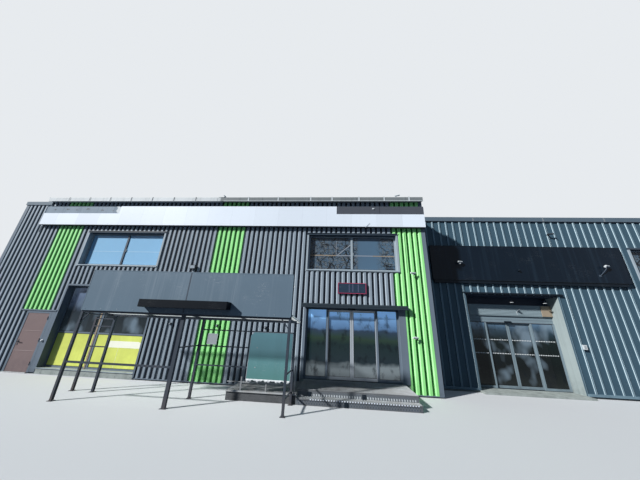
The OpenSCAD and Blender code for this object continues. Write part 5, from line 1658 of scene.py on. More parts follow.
@dataclass
class SlidingFront:
    """Trim of a sliding entrance: seals, brushes, safety dots, floor track, header lip and sensor."""

    label: str
    middle: float
    front: float
    floor: float
    side_panes: tuple[Pane, Pane]
    leaf_panes: tuple[Pane, Pane]
    half: float
    header_low: float
    dot_rows: tuple[float, ...] = ()

    def dots(self, pane: Pane) -> Shape:
        """Small safety dots in rows: thin discs on the glass at an even pitch.

        Args:
            pane: The pane that carries them.

        Returns:
            All dots of the pane.
        """
        inside = np.arange(pane.x[0] + 0.04, pane.x[1] - 0.02, 0.062)
        spots = lattice(inside, pane.front - 0.0012, self.dot_rows)
        disc = to_front(turned_part(((0.019, 0.0), (0.019, 0.001)), 8))
        return disc.moved((0, 0.001, 0)).repeated(spots)

    def build(self, shop: Workshop) -> None:
        """Places the trim of both side panes and both leaves.

        Args:
            shop: The workshop.
        """
        name = self.label
        shop.place(f"{name}_side_seals", joined([pane.gasket() for pane in self.side_panes]), "rubber")
        for pane in self.leaf_panes:
            shop.place(f"{name}_{pane.name}_seal", pane.gasket(), "rubber", pane.body)
            inner = pane.x[1] if pane.x[1] < self.middle else pane.x[0]
            side = 1.0 if inner < self.middle else -1.0
            edge = sorted((inner + side * 0.048, inner + side * 0.0545))
            brush = level_bars([edge], (pane.front - 0.012, pane.front + 0.024),
                               (pane.z[0] - 0.08, pane.z[1] + 0.05))
            shop.place(f"{name}_{pane.name}_edge", brush, "rubber", pane.body)
        if self.dot_rows:
            shop.place(f"{name}_side_dots", joined([self.dots(pane) for pane in self.side_panes]),
                       "white_plastic")
            for pane in self.leaf_panes:
                shop.place(f"{name}_{pane.name}_dots", self.dots(pane), "white_plastic", pane.body)
        run = (self.middle - self.half, self.middle + self.half)
        plate = level_bars([run], (self.front - 0.04, self.front + 0.06), (self.floor, self.floor + 0.005),
                           0.002)
        ys = self.front - np.array([0.032, 0.02, 0.008])
        ribs = boxes(xyz(run[0], ys, self.floor + 0.005), xyz(run[1], ys + 0.005, self.floor + 0.008), 0.001)
        shop.place(f"{name}_floor_track", joined([plate, ribs]), "black_metal")
        low = self.header_low
        lip = level_bars([run], (self.front - 0.006, self.front), (low, low + 0.02), 0.002)
        line = level_bars([run], (self.front - 0.003, self.front), (low + 0.12, low + 0.126))
        shop.place(f"{name}_header_lip", joined([lip, line]), "dark_strip")
        body = prism([(self.front, low + 0.07), (self.front - 0.045, low + 0.06),
                      (self.front - 0.062, low + 0.03), (self.front - 0.058, low),
                      (self.front, low - 0.006)],
                     (self.middle - 0.13, self.middle + 0.13), Axis.X)
        eye = to_front(turned_part(((0.013, 0.0), (0.013, 0.006), (0.008, 0.009)), 12))
        eyes = eye.repeated(lattice(self.middle + np.array([-0.07, 0.07]), self.front - 0.056, (low + 0.02,)))
        shop.place(f"{name}_sensor", joined([body, eyes]), "black_metal")


@dataclass
class EntranceHood:
    """The folded hood over the main entrance and the bare display box above it."""

    span: Pair = (-1.79, 1.95)
    front: float = -0.345
    display_x: Pair = (-0.51, 0.53)
    display_z: Pair = (3.17, 3.56)
    display_front: float = -0.205
    display_rim: float = 0.02

    def build(self, shop: Workshop) -> None:
        """Places the hood's lip, ends and fixings, and the display's rim and face.

        Args:
            shop: The workshop.
        """
        x0, x1 = self.span
        lip = prism([(self.front - 0.004, 2.642), (self.front - 0.007, 2.634), (self.front + 0.022, 2.634),
                     (self.front + 0.022, 2.64)], (x0, x1), Axis.X)
        crease = boxes((x0, self.front - 0.0025, 2.7), (x1, self.front, 2.706), 0.001)
        shop.place("hood_lip", joined([lip, crease]), "black_metal")
        ends = [(-0.15, 2.8), (self.front, 2.77), (self.front, 2.64), (self.front + 0.02, 2.64),
                (-0.15, 2.74)]
        pair = [prism(ends, (x, x + 0.003), Axis.X) for x in (x0 - 0.003, x1)]
        shop.place("hood_ends", joined(pair), "grey_trim")
        spots = lattice(np.arange(x0 + 0.15, x1, 0.42), self.front, (2.725,))
        shop.place("hood_rivets", screws(spots, 0.004), "fastener")
        (a, b), (low, high), front = self.display_x, self.display_z, self.display_front
        frame = rim(self.display_x, self.display_z, (front - 0.012, front), self.display_rim, 0.003)
        shop.place("display_rim", frame, "red_edge")
        inner = self.display_rim + 0.012
        face = level_bars([(a + inner, b - inner)], (front - 0.004, front), (low + inner, high - inner))
        shop.place("display_face", face, "display")
        xs = a + (b - a) * np.array([0.4, 0.53, 0.72])
        bars = wall_strips(xs, 0.011, (front - 0.007, front - 0.004),
                           (low + inner + 0.02, high - inner - 0.02), ())
        shop.place("display_dividers", bars, "display_bar")
        edge = boxes((1.556, -0.0115, 0.46), (1.589, -0.0085, 2.17), 0.001)
        shop.place("entrance_red_edge", edge, "red_edge")


@dataclass
class Grate:
    """One field of open bar grating."""

    x: Pair
    y: Pair
    top: float
    depth: float = 0.04
    pitch: float = 0.0333
    rod_pitch: float = 0.1

    def shape(self) -> Shape:
        """Bearing bars along Y, cross rods along X and a flat border.

        Returns:
            The field of grating.
        """
        (x0, x1), (y0, y1) = self.x, self.y
        low = self.top - self.depth
        xs = np.arange(x0 + self.pitch, x1 - 0.008, self.pitch)
        bars = boxes(xyz(xs - 0.0022, y0 + 0.004, low + 0.006), xyz(xs + 0.0022, y1 - 0.004, self.top),
                     0.0008)
        ys = np.arange(y0 + self.rod_pitch / 2, y1 - 0.02, self.rod_pitch)
        rods = boxes(xyz(x0 + 0.004, ys - 0.003, self.top - 0.009),
                     xyz(x1 - 0.004, ys + 0.003, self.top - 0.002), 0.001)
        edge = boxes([(x0, y0, low), (x0, y1 - 0.005, low), (x0, y0 + 0.005, low),
                      (x1 - 0.005, y0 + 0.005, low)],
                     [(x1, y0 + 0.005, self.top), (x1, y1, self.top), (x0 + 0.005, y1 - 0.005, self.top),
                      (x1, y1 - 0.005, self.top)], 0.001)
        return joined([bars, rods, edge])


@dataclass
class Landing:
    """The entrance landing: open bar grating in place of the solid decks, and risers with tabs and slots."""

    fields: tuple[Grate, ...] = (Grate((-1.6, 1.7), (-1.545, -0.146), 0.32),
                                 Grate((-1.6, 1.7), (-1.805, -1.546), 0.16),
                                 Grate((-3.55, -1.601), (-1.799, -0.146), 0.25))
    clips: tuple[Triple, ...] = ((-1.26, -1.5465, 0.205), (0.235, -1.5465, 0.21), (-0.255, -1.7965, 0.085))
    pitch: float = 0.07
    end: float = 1.66

    def tabs(self, size: Triple, lean: float, y: float, heights: Sequence[float]) -> Shape:
        """Bright tabs of the expanded metal, at an even pitch, each leaning to the right.

        Args:
            size: Half width, depth and half height of a tab.
            lean: Its lean in radians.
            y: Where the tabs' backs lie.
            heights: Middle height of each row of tabs.

        Returns:
            All tabs.
        """
        wide, deep, tall = size
        tab = boxes((-wide, -deep, -tall), (wide, 0.0, tall), 0.001)
        tab = tab.turned(np.array(Matrix.Rotation(lean, 3, "Y")))
        return tab.repeated(lattice(np.arange(-1.2, self.end, self.pitch), y, heights))

    def build(self, shop: Workshop) -> None:
        """Places the gratings, the nosings, the riser skins and their clips.

        Args:
            shop: The workshop.
        """
        decks = shop.place("landing_bar_grating", joined([deck.shape() for deck in self.fields]), "grating")
        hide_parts("landing_grating")
        nose = boxes([(-1.6, -1.552, 0.285), (-1.6, -1.812, 0.125)],
                     [(1.7, -1.545, 0.322), (1.7, -1.805, 0.162)], 0.002)
        shop.place("landing_nosings", nose, "step_nosing")
        # The white and pale tabs are painted highlights on the galvanised metal
        tabs = self.tabs((0.014, 0.006, 0.016), 0.6, -1.812, (0.146,))
        shop.place("landing_nosing_tabs", tabs, "white_sheet")
        skins = boxes([(-1.598, -1.5465, 0.163), (-1.598, -1.7965, 0.004)],
                      [(1.698, -1.545, 0.279), (1.698, -1.795, 0.119)], 0.0005)
        shop.place("landing_riser_skins", skins, "step_riser")
        tabs = self.tabs((0.017, 0.003, 0.011), 0.5, -1.5465, (0.183, 0.208))
        shop.place("landing_riser_tabs", tabs, "pale_trim")
        # The dark slot marks are painted shade, where the riser is open
        slots = lattice(np.arange(-1.55, self.end, self.pitch), -1.7965, (0.05, 0.098))
        slots[::2, 0] += self.pitch / 2
        dash = boxes((-0.013, -0.0012, -0.017), (0.013, 0.0, 0.017), 0.0005)
        shop.place("landing_riser_slots", dash.repeated(slots), "lap_grey")
        # The pale studs are painted highlights on the galvanised metal
        stud = turned_part(((0.019, 0.0), (0.019, 0.003), (0.013, 0.005)), 10)
        lines = [lattice(np.arange(-1.5 + self.pitch / 2 * k, self.end, self.pitch), y, (0.1595,))
                 for k, y in enumerate((-1.61, -1.69, -1.77))]
        shop.place("step_studs", stud.repeated(np.concatenate(lines)), "pale_trim")
        skirt = boxes((-3.548, -1.7615, 0.004), (-1.612, -1.7597, 0.208), 0.0005)
        shop.place("walkway_riser_skin", skirt, "riser_mesh")
        blocks = [boxes((x - 0.052, y - 0.02, z - 0.08), (x + 0.052, y, z + 0.065), 0.004)
                  for x, y, z in self.clips]
        shop.place("riser_clips", joined(blocks), "black_metal")
        strip = boxes((-0.48, -0.015, 0.0), (0.48, 0.015, 0.006), 0.002)
        turn = np.array(Matrix.Rotation(0.084, 3, "Z"))
        shop.place("landing_floor_bar", strip.turned(turn).moved((1.1, -0.735, 0.3205)), "pale_trim")
        caps = boxes((-1.678, -1.793, 0.908), (-1.637, -1.752, 0.914), 0.002)
        shop.place("kerb_post_cap", caps, "black_metal")


@dataclass
class Shelter:
    """The shelter in front: roof ribs and purlins, fascia folds, bolts, screen edging and box trim."""

    roof_x: Pair = (-7.57, -1.68)
    roof_y: Pair = (-2.745, -1.255)
    roof_z: float = 2.17
    fall: float = 0.0738
    sheet: float = 0.035
    rib_pitch: float = 0.25
    panel_front: float = -2.845
    panel_x: Pair = (-7.55, -1.7)
    panel_z: Pair = (2.15, 3.27)
    feet: tuple[Pair, ...] = ((-7.55, -2.805), (-4.64, -2.805), (-1.76, -2.805), (-7.42, -1.86),
                              (-4.56, -1.86), (-1.76, -1.86), (-8.04, -1.86))

    def under(self, y: float) -> float:
        """Height of the roof sheet's underside at one Y."""
        return self.roof_z - self.fall * (y - self.roof_y[0])

    def slab(self, xs: np.ndarray, half: float, rise: Pair) -> Shape:
        """Bars that run down the roof.

        Args:
            xs: Middle of each bar along X.
            half: Half of a bar's width.
            rise: Height of its foot and its top above the underside.

        Returns:
            All bars.
        """
        y0, y1 = self.roof_y[0] + 0.004, self.roof_y[1] - 0.002
        outline = [(y0, self.under(y0) + rise[0]), (y1, self.under(y1) + rise[0]),
                   (y1, self.under(y1) + rise[1]), (y0, self.under(y0) + rise[1])]
        return prism(outline, (-half, half), Axis.X).repeated(xyz(xs, 0.0, 0.0))

    def roof(self, shop: Workshop) -> None:
        """Places the roof's ribs, purlins and rafters.

        Args:
            shop: The workshop.
        """
        x0, x1 = self.roof_x
        ribs = self.slab(np.arange(x0 + 0.14, x1, self.rib_pitch), 0.014, (self.sheet, self.sheet + 0.018))
        shop.place("shelter_roof_ribs", ribs, "shelter_roof")
        grooves = self.slab(np.arange(x0 + 0.265, x1 - 0.05, self.rib_pitch), 0.006, (-0.0025, 0.0))
        shop.place("shelter_roof_grooves", grooves, "shelter_roof")
        beams = []
        for y in (-2.62, -1.285):
            top = self.under(y) - 0.0005
            beams.append(boxes((x0 + 0.03, y - 0.018, top - 0.018), (x1 - 0.03, y + 0.018, top), 0.003))
        shop.place("shelter_purlins", joined(beams), "dark_metal")
        rafters = self.slab(np.array([-7.49, -6.05, -4.61, -3.2, -1.79]), 0.015, (-0.03, -0.0005))
        shop.place("shelter_rafters", rafters, "dark_metal")
        end = self.roof_y[1]
        drip = level_bars([self.roof_x], (end - 0.003, end + 0.001),
                          (self.under(end) - 0.012, self.under(end) + 0.04))
        shop.place("shelter_rear_drip", drip, "grey_trim")

    def fascia(self, shop: Workshop) -> None:
        """Places the fascia's folds, screws, corner hook and the trim of the dark box.

        Args:
            shop: The workshop.
        """
        (x0, x1), (z0, z1), y = self.panel_x, self.panel_z, self.panel_front
        folds = boxes([(x0, y - 0.003, z0), (x0, y - 0.003, z1 - 0.02), (x0, y - 0.003, z0),
                       (x1 - 0.018, y - 0.003, z0)],
                      [(x1, y, z0 + 0.02), (x1, y, z1), (x0 + 0.018, y, z1), (x1, y, z1)], 0.0014)
        shop.place("shelter_fascia_folds", folds, "shelter_panel")
        seam = boxes((-4.612, y - 0.0022, z0 + 0.02), (-4.578, y, z1 - 0.02), 0.001)
        shop.place("shelter_fascia_joint", seam, "lap_grey")
        xs = np.concatenate([np.arange(x0 + 0.12, -4.7, 0.47), np.arange(-4.48, x1 - 0.05, 0.47)])
        spots = lattice(xs, y - 0.003, (z0 + 0.05, z1 - 0.05))
        shop.place("shelter_fascia_screws", screws(spots, 0.0042), "pale_trim")
        top = boxes((x0, y - 0.004, z1 - 0.001), (x1, -2.8, z1 + 0.004), 0.002)
        shop.place("shelter_top_cap", top, "grey_trim")
        hook = sweep([(-1.7, -2.82, 2.92), (-1.672, -2.82, 2.925), (-1.662, -2.82, 2.95),
                      (-1.662, -2.82, 2.99)], round_section(0.006, 8), (0.0, 1.0, 0.0))
        shop.place("shelter_corner_hook", hook, "steel")
        caps = level_bars([(-5.726, -5.716), (-3.334, -3.324)], (-3.0945, -2.846), (2.283, 2.477), 0.003)
        lip = boxes((-5.715, -3.094, 2.279), (-3.335, -3.02, 2.285), 0.002)
        shop.place("shelter_box_ends", joined([caps, lip]), "box_black")

    def fringe(self) -> Shape:
        """The crumpled white edging at the foot of the screen.

        The lower edge drops by two sine waves of different lengths and the face swells out by a third;
        a front and a back grid, joined round their border, make it a closed sheet.

        Returns:
            The edging.
        """
        u = np.linspace(-2.99, -1.79, 97)[None, :]
        v = np.linspace(0.0, 1.0, 7)[:, None]
        drop = 0.05 + 0.016 * np.sin(u * 23.0) + 0.01 * np.sin(u * 61.0 + 0.7)
        z = 0.556 - drop * (1.0 - v)
        swell = 0.01 * np.sin(np.pi * v) * (1.0 + 0.6 * np.sin(u * 47.0 + 3.0 * v))
        front, back = xyz(u, -1.874 - swell, z), xyz(u, -1.8675, z)
        rows, columns = z.shape
        faces = grid_faces(rows, columns, False)
        around = np.concatenate([np.arange(columns), np.arange(1, rows) * columns + columns - 1,
                                 (rows - 1) * columns + np.arange(columns - 2, -1, -1),
                                 np.arange(rows - 2, 0, -1) * columns])
        after = np.roll(around, -1)
        count = rows * columns
        border = np.stack([around, around + count, after + count, after], -1)
        points = np.concatenate([front.reshape(-1, 3), back.reshape(-1, 3)])
        return Shape(points, [faces, faces[:, ::-1] + count, border]).outward()

    def build(self, shop: Workshop) -> None:
        """Places all trim of the shelter.

        Args:
            shop: The workshop.
        """
        self.roof(shop)
        self.fascia(shop)
        bolt = turned_part(((0.013, 0.0), (0.013, 0.002), (0.009, 0.0022), (0.009, 0.009), (0.005, 0.011),
                            (0.005, 0.018), (0.004, 0.019)), 6)
        spots = np.array([(x + across, y + 0.03, 0.008) for x, y in self.feet
                          for across in (-0.016, 0.076)])
        spots[2:4, 0] += np.array([0.0, 0.03])
        shop.place("shelter_foot_bolts", bolt.repeated(spots), "steel")
        shop.place("shelter_screen_fringe", self.fringe(), "white_plastic")
        low, high, y = 0.52, 1.76, -1.8685
        edges = boxes([(-3.01, y, low), (-1.782, y, low), (-2.9, y, high - 0.012)],
                      [(-2.998, y + 0.003, high - 0.11), (-1.77, y + 0.003, high), (-1.77, y + 0.003, high)],
                      0.001)
        shop.place("shelter_screen_edges", edges, "aluminium")
        clip = boxes((0.0, 0.0, 0.0), (0.03, 0.006, 0.02), 0.001)
        clips = clip.repeated(lattice((-2.8, -1.95), -1.872, (0.83, 1.33)))
        shop.place("shelter_screen_clips", clips, "steel")
        caps = boxes([(-8.043, -1.863, 2.0), (-2.94, -2.808, 3.208)],
                     [(-7.977, -1.797, 2.006), (-2.938, -2.806, 3.21)], 0.002)
        shop.place("shelter_post_caps", caps, "black_metal")
        x, y = np.array(self.feet[:1] + self.feet[2:]).T
        collars = boxes(xyz(x - 0.004, y - 0.004, 0.008), xyz(x + 0.064, y + 0.064, 0.02), 0.003)
        shop.place("shelter_foot_welds", collars, "dark_metal")


# The wing


@dataclass
class WingFront:
    """The set-back wing: laps, screws, base flashing, capping joints and the long black panel."""

    span: Pair = (0.06, 6.75)
    laps: tuple[float, ...] = (3.6, 4.8, 6.0, 7.2, 8.4, 9.6, 10.8, 12.0, 13.2, 14.4)
    rib_pitch: float = 0.3
    coping_joints: tuple[float, ...] = (5.56, 8.53, 11.03, 13.55)
    panel_x: Pair = (3.45, 11.05)
    panel_z: Pair = (4.03, 5.53)
    panel_front: float = 1.04

    def panel(self, shop: Workshop) -> None:
        """Places the black panel's folds, lower lip, seams, rivets, knob and bent corner.

        Args:
            shop: The workshop.
        """
        (x0, x1), (z0, z1), y = self.panel_x, self.panel_z, self.panel_front
        edges = boxes([(x0, y - 0.004, z0), (x0, y - 0.004, z1 - 0.03), (x0, y - 0.004, z0),
                       (x1 - 0.03, y - 0.004, z0)],
                      [(x1, y, z0 + 0.03), (x1, y, z1), (x0 + 0.03, y, z1), (x1, y, z1)], 0.002)
        shop.place("black_panel_folds", edges, "black_metal")
        lip = prism([(y + 0.02, z0), (y + 0.03, z0 - 0.11), (y + 0.04, z0 - 0.115), (y + 0.115, z0 - 0.115),
                     (y + 0.115, z0)], (x0 + 0.05, x1 - 0.15), Axis.X)
        shop.place("black_panel_lower_lip", lip, "black_metal")
        xs = np.array([4.97, 6.49, 8.01, 9.53, 10.4])
        seams = wall_strips(xs, 0.004, (y - 0.0015, y), (z0 + 0.03, z1 - 0.03), ())
        shop.place("black_panel_seams", seams, "black_metal")
        spots = lattice(np.arange(x0 + 0.2, x1, 0.38), y - 0.004, (z0 + 0.015, z1 - 0.015))
        shop.place("black_panel_rivets", screws(spots, 0.004), "black_metal")
        knob = turned_part(((0.05, 0.0), (0.052, 0.01), (0.04, 0.03), (0.03, 0.07), (0.012, 0.085)), 16)
        shop.place("black_panel_knob", to_front(knob).moved((6.9, y, 4.48)), "black_metal", smooth=True)
        bend = np.linspace(0, 1.2, 9)
        arc = np.stack([4.57 + 0.09 * np.sin(bend), y - 0.001 - 0.09 * (1 - np.cos(bend))], -1)
        flap = prism(np.concatenate([arc, arc[::-1] - (0.0, 0.003)]), (4.71, 4.81), Axis.Z)
        shop.place("black_panel_bent_corner", flap, "pale_trim")

    def build(self, shop: Workshop) -> None:
        """Places everything on the wing's front but its entrance.

        Args:
            shop: The workshop.
        """
        places = np.array(self.laps) + self.rib_pitch / 2
        edge = wall_strips(places + 0.026, 0.0018, (WING_CREST - 0.004, WING_CREST), self.span, WING_HOLES)
        strip = wall_strips(places, 0.026, (WING_CREST - 0.0016, WING_CREST), self.span, WING_HOLES)
        shop.place("wing_laps", joined([strip, edge]), "wing_sheet")
        xs = np.arange(10, 51) * self.rib_pitch + 0.085
        heads = outside(lattice(xs, WING_VALLEY, (0.3, 1.9, 3.72, 5.66, 6.62)), WING_HOLES)
        shop.place("wing_screws", screws(heads), "wing_fastener")
        base = [(1.128, 0.066), (1.13, 0.06), (1.152, 0.064), (1.158, 0.13), (WING_VALLEY, 0.14),
                (WING_VALLEY, 0.146), (1.152, 0.134), (1.148, 0.07)]
        runs = ((2.92, 4.64), (8.26, 15.29))
        shop.place("wing_base_flashing", joined([prism(base, run, Axis.X) for run in runs]), "wing_sheet")
        places, z = np.array(self.coping_joints), (6.755, 6.93)
        straps = boxes(xyz(places - 0.03, 1.127, z[0]), xyz(places + 0.03, 1.13, z[1]), 0.001)
        seams = boxes(xyz(places - 0.004, 1.1245, z[0]), xyz(places + 0.004, 1.127, z[1]), 0.0008)
        shop.place("wing_coping_joints", joined([straps, seams]), "wing_coping_joint")
        lip = boxes((2.93, 1.125, 6.743), (15.36, 1.131, 6.758), 0.002)
        shop.place("wing_coping_lip", lip, "dark_strip")
        line = wall_strips([11.26], 0.006, (1.158, WING_CREST), (0.14, 3.9), WING_HOLES)
        shop.place("wing_sheet_end", line, "grey_trim")
        self.panel(shop)


@dataclass
class WingRecess:
    """The recess of the wing's entrance: head flashing, shutter slats, end plates and ceiling spots."""

    span: Pair = (4.65, 8.25)
    head: float = 3.5
    slat_front: float = 1.66
    slat_z: Pair = (2.74, 3.15)
    slats: int = 8

    def curtain(self) -> Shape:
        """The closed shutter's slats in its box.

        Each slat's profile is half a cosine wave out from the box, carried along X.

        Returns:
            All slats.
        """
        step = (self.slat_z[1] - self.slat_z[0]) / self.slats
        u = np.linspace(0, 1, 9)
        z = (u - 0.5) * (step - 0.004)
        out = self.slat_front - 0.012 * np.sin(np.pi * u) - 0.001
        outline = np.concatenate([np.stack([out, z], -1),
                                  [(self.slat_front, z[-1]), (self.slat_front, z[0])]])
        slat = prism(outline, (self.span[0] + 0.33, self.span[1] - 0.46), Axis.X)
        heights = self.slat_z[0] + (np.arange(self.slats) + 0.5) * step
        return slat.repeated(xyz(0.0, 0.0, heights))

    def build(self, shop: Workshop) -> None:
        """Places the trim of the recess.

        Args:
            shop: The workshop.
        """
        x0, x1 = self.span
        z = self.head
        flashing = [(WING_CREST, z + 0.075), (1.15, z + 0.062), (1.104, z + 0.05), (1.098, z + 0.012),
                    (1.102, z + 0.012), (1.108, z + 0.044), (WING_CREST, z + 0.056), (WING_VALLEY, z),
                    (1.2, z + 0.004), (1.165, z + 0.075)]
        shop.place("recess_head_flashing", prism(flashing, (x0 - 0.05, x1 + 0.15), Axis.X), "black_metal")
        shop.place("shutter_slats", self.curtain(), "shutter")
        plates = level_bars([(x0 + 0.045, x0 + 0.31), (x1 - 0.43, x1 - 0.045)], (1.632, 1.66), (2.725, 3.14),
                            0.004)
        shop.place("shutter_end_plates", plates, "tan_bar")
        guide = level_bars([(x0 + 0.04, x0 + 0.075), (x1 - 0.075, x1 - 0.04)], (1.69, 1.72), (0.07, 2.44),
                           0.003)
        shop.place("shutter_guides", guide, "wing_grey")
        lamp = turned_part(((0.05, 0.0), (0.062, 0.003), (0.064, 0.014), (0.05, 0.018)), 16)
        stem = turned_part(((0.008, 0.016), (0.008, 0.255)), 8)
        spots = np.array([(6.52, 1.3, 3.208), (7.78, 1.3, 3.208)])
        shop.place("recess_spots", lamp.repeated(spots), "white_plastic")
        shop.place("recess_spot_stems", stem.repeated(spots), "black_metal")
        trims = level_bars([(x0, x0 + 0.045), (x1 - 0.045, x1)], (1.154, WING_CREST), (0.07, z + 0.05), 0.002)
        shop.place("recess_corner_trims", trims, "wing_trim")
        cable = sweep([(6.86, 1.648, 2.78), (6.84, 1.645, 2.86), (6.9, 1.643, 2.93), (6.99, 1.64, 2.985),
                       (7.02, 1.641, 3.0)], round_section(0.006, 8))
        shop.place("shutter_pull", cable, "white_plastic")


@dataclass
class Fittings:
    """Details of the lamps, alarm box and notice plate, and the wires clipped to the wall."""

    wires: tuple[tuple[Triple, ...], ...] = (
        ((8.55, 1.156, 6.72), (8.553, 1.156, 6.45), (8.55, 1.156, 6.17)),
        ((8.55, 1.156, 6.07), (8.548, 1.156, 5.85), (8.55, 1.156, 5.55)),
        ((2.08, -0.149, 5.8), (2.083, -0.149, 4.9), (2.08, -0.149, 4.02)),
        ((8.55, 1.156, 1.74), (8.553, 1.156, 2.6), (8.55, 1.156, 3.5)))

    def build(self, shop: Workshop) -> None:
        """Places the trim of the fittings.

        Args:
            shop: The workshop.
        """
        wires = [sweep(path, round_section(0.004, 7), (0.0, 1.0, 0.0)) for path in self.wires]
        shop.place("wall_wires", joined(wires), "rubber")
        stay = sweep([(9.95, 1.038, 4.33), (9.99, 1.022, 4.37), (10.12, 0.985, 4.51), (10.235, 0.95, 4.67)],
                     round_section(0.012, 8))
        foot = boxes((9.91, 1.03, 4.29), (9.99, 1.042, 4.37), 0.003)
        shop.place("panel_lamp_stay", joined([stay, foot]), "lap_grey")
        flood = boxes((-6.385, -0.272, 3.975), (-6.195, -0.264, 4.095), 0.002)
        shop.place("floodlight_glass", flood, "lamp_glass")
        step = 0.018 * np.arange(6)
        fins = boxes(xyz(-6.38, -0.262 + step, 4.11), xyz(-6.2, -0.254 + step, 4.122), 0.001)
        shop.place("floodlight_fins", fins, "rubber")
        lens = to_front(turned_part(((0.024, 0.0), (0.026, 0.003), (0.022, 0.012), (0.012, 0.018)), 14))
        lenses = lens.repeated(lattice((-6.7, -4.9, -3.1), -0.215, (1.885,)))
        shop.place("wall_lamp_lenses", lenses, "lamp_glass")
        grille = boxes(xyz(8.575, 1.097, 1.6 + step), xyz(8.645, 1.1, 1.606 + step), 0.001)
        shop.place("alarm_grille", grille, "dark_strip")
        edge = rim((-5.18, -4.82), (1.25, 1.61), (-0.156, -0.153), 0.012, 0.001)
        shop.place("notice_plate_rim", edge, "aluminium")


@dataclass
class PlainSides:
    """Sheet laps and foot drips of the two ends and the rear."""

    left: float = -15.145
    right: float = 15.34
    rear: float = 15.145
    foot: float = 0.06
    top: float = 6.75

    def build(self, shop: Workshop) -> None:
        """Places the trim of the plain sides.

        Args:
            shop: The workshop.
        """
        ys, xs, sides = np.arange(1.3, 15.0, 1.0), np.arange(-14.1, 15.0, 1.0), []
        for (x0, x1), first in (((self.left - 0.0016, self.left + 0.004), 0.0),
                                ((self.right - 0.004, self.right + 0.0016), 2.0)):
            laps = ys[ys > first]
            sides.append(boxes(xyz(x0, laps - 0.02, self.foot), xyz(x1, laps + 0.02, self.top), 0.0006))
        sides.append(boxes(xyz(xs - 0.02, self.rear - 0.004, self.foot),
                           xyz(xs + 0.02, self.rear + 0.0016, self.top), 0.0006))
        shop.place("plain_side_laps", joined(sides), "lap_grey")
        drips = boxes([(self.left - 0.006, 0.02, 0.035), (-15.1, self.rear - 0.002, 0.035)],
                      [(self.left + 0.002, 15.1, 0.06), (15.3, self.rear + 0.006, 0.06)], 0.002)
        shop.place("plain_side_drips", drips, "grey_trim")


# The studio, and the order of building


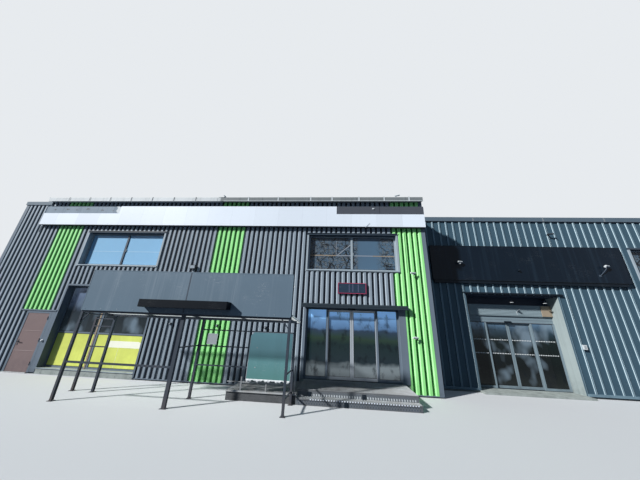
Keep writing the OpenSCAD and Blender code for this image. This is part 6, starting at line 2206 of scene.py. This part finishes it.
@dataclass
class Studio:
    """The camera of the photograph, a pale floor, a soft sun lamp and a pale world."""

    eye: Triple = (-0.5, -9.245, 1.91)
    across: Triple = (0.99691, 0.068651, 0.038304)
    upward: Triple = (-0.012039, -0.348187, 0.937358)
    lens: float = 13.556
    sensor: float = 36.0
    sun_path: Triple = (0.705, 0.53, -0.53)
    sun_strength: float = 5.4
    sun_softness: float = 0.05
    sky_strength: float = 0.17
    sky_tint: Triple = (0.38, 0.64, 1.0)
    floor_reach: float = 160.0
    floor_color: Rgba = tone(203, 205, 206)
    floor_bounce: Rgba = tone(50, 64, 82)
    floor_level: float = -0.002
    backdrop: Triple = (0.93, 0.965, 1.0)
    backdrop_strength: float = 0.86

    def camera(self) -> None:
        """Puts the camera where the photograph was taken, from its two axes."""
        across, upward = Vector(self.across), Vector(self.upward)
        data = bpy.data.cameras.new("camera")
        data.sensor_width = self.sensor
        data.lens = self.lens
        data.clip_end = 500.0
        camera = bpy.data.objects.new("camera", data)
        turn = Matrix((across, upward, across.cross(upward))).transposed()
        camera.matrix_world = Matrix.Translation(Vector(self.eye)) @ turn.to_4x4()
        bpy.context.scene.collection.objects.link(camera)
        bpy.context.scene.camera = camera

    def floor(self) -> None:
        """Lays a plain pale floor just under the building."""
        signs = np.array([(-1, -1), (1, -1), (1, 1), (-1, 1)])
        flat = xyz(signs[:, 0] * self.floor_reach, signs[:, 1] * self.floor_reach, self.floor_level)
        mesh = bpy.data.meshes.new("floor")
        mesh.from_pydata(flat.tolist(), [], [[0, 1, 2, 3]])
        material = bpy.data.materials.new("floor")
        material.use_nodes = True
        graph = Graph(material.node_tree)
        shader = material.node_tree.nodes["Principled BSDF"]
        shader.inputs["Roughness"].default_value = 0.9
        path = graph.add("ShaderNodeLightPath")
        seen = graph.math("MAXIMUM", path.outputs["Is Camera Ray"], path.outputs["Is Glossy Ray"])
        graph.tree.links.new(graph.blend(seen, self.floor_bounce, self.floor_color),
                             shader.inputs["Base Color"])
        mesh.materials.append(material)
        floor = bpy.data.objects.new("floor", mesh)
        bpy.context.scene.collection.objects.link(floor)

    def light(self) -> None:
        """Adds the sun lamp and the world, which the camera, gloss and glass see as a pale backdrop."""
        data = bpy.data.lights.new("sun", "SUN")
        data.energy = self.sun_strength
        data.angle = self.sun_softness
        lamp = bpy.data.objects.new("sun", data)
        lamp.rotation_mode = "QUATERNION"
        lamp.rotation_quaternion = Vector(self.sun_path).to_track_quat("-Z", "Y")
        bpy.context.scene.collection.objects.link(lamp)
        world = bpy.data.worlds.new("studio")
        world.use_nodes = True
        world.node_tree.nodes.clear()
        graph = Graph(world.node_tree)
        path = graph.add("ShaderNodeLightPath")
        seen = graph.math("MAXIMUM", path.outputs["Is Camera Ray"], path.outputs["Is Transmission Ray"])
        seen = graph.math("MAXIMUM", seen, path.outputs["Is Glossy Ray"])
        strength = graph.ramp(seen, 0.0, 1.0, self.sky_strength, self.backdrop_strength)
        tint = graph.blend(seen, (*self.sky_tint, 1.0), (*self.backdrop, 1.0))
        sky = graph.add("ShaderNodeBackground", {"Color": tint, "Strength": strength})
        graph.add("ShaderNodeOutputWorld", {0: sky.outputs[0]})
        bpy.context.scene.world = world
        bpy.context.scene.view_settings.view_transform = "Standard"

    def build(self) -> None:
        """Sets up the camera, the floor and the light."""
        self.camera()
        self.floor()
        self.light()


def sub_assemblies() -> list:
    """The sub-assemblies of the building, in the order in which they are built.

    Returns:
        One object of each class, and one sliding front for each entrance.
    """
    main_entrance = SlidingFront(
        "entrance", middle=0.0, front=-0.04, floor=0.32, half=1.65, header_low=2.6,
        side_panes=(Pane("left", (-1.59, -0.91), (0.41, 2.6), -0.024),
                    Pane("right", (0.91, 1.59), (0.41, 2.6), -0.024)),
        leaf_panes=(Pane("leaf_left", (-0.825, -0.06), (0.42, 2.535), 0.044, Body.ENTRANCE_LEFT),
                    Pane("leaf_right", (0.06, 0.825), (0.42, 2.535), 0.044, Body.ENTRANCE_RIGHT)))
    wing_entrance = SlidingFront(
        "wing", middle=6.45, front=1.72, floor=0.06, half=1.76, header_low=2.44, dot_rows=(1.275, 1.78),
        side_panes=(Pane("left", (4.75, 5.54), (0.15, 2.44), 1.736),
                    Pane("right", (7.36, 8.15), (0.15, 2.44), 1.736)),
        leaf_panes=(Pane("leaf_left", (5.625, 6.39), (0.16, 2.375), 1.804, Body.WING_LEFT),
                    Pane("leaf_right", (6.51, 7.275), (0.16, 2.375), 1.804, Body.WING_RIGHT)))
    return [Cladding(), Coping(), FasciaBand(), UpperWindows(), ShopWindow(), ServiceDoor(), main_entrance,
            EntranceHood(), Landing(), Shelter(), WingFront(), WingRecess(), wing_entrance, Fittings(),
            PlainSides()]


def main() -> None:
    """Loads the frame, builds the studio and dresses the building, part by part."""
    logging.basicConfig(level=logging.INFO, format="%(name)s: %(message)s")
    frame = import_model()
    Studio().build()
    shop = Workshop(frame)
    Structure().dress(shop)
    for part in sub_assemblies():
        part.build(shop)


if __name__ == "__main__":
    main()
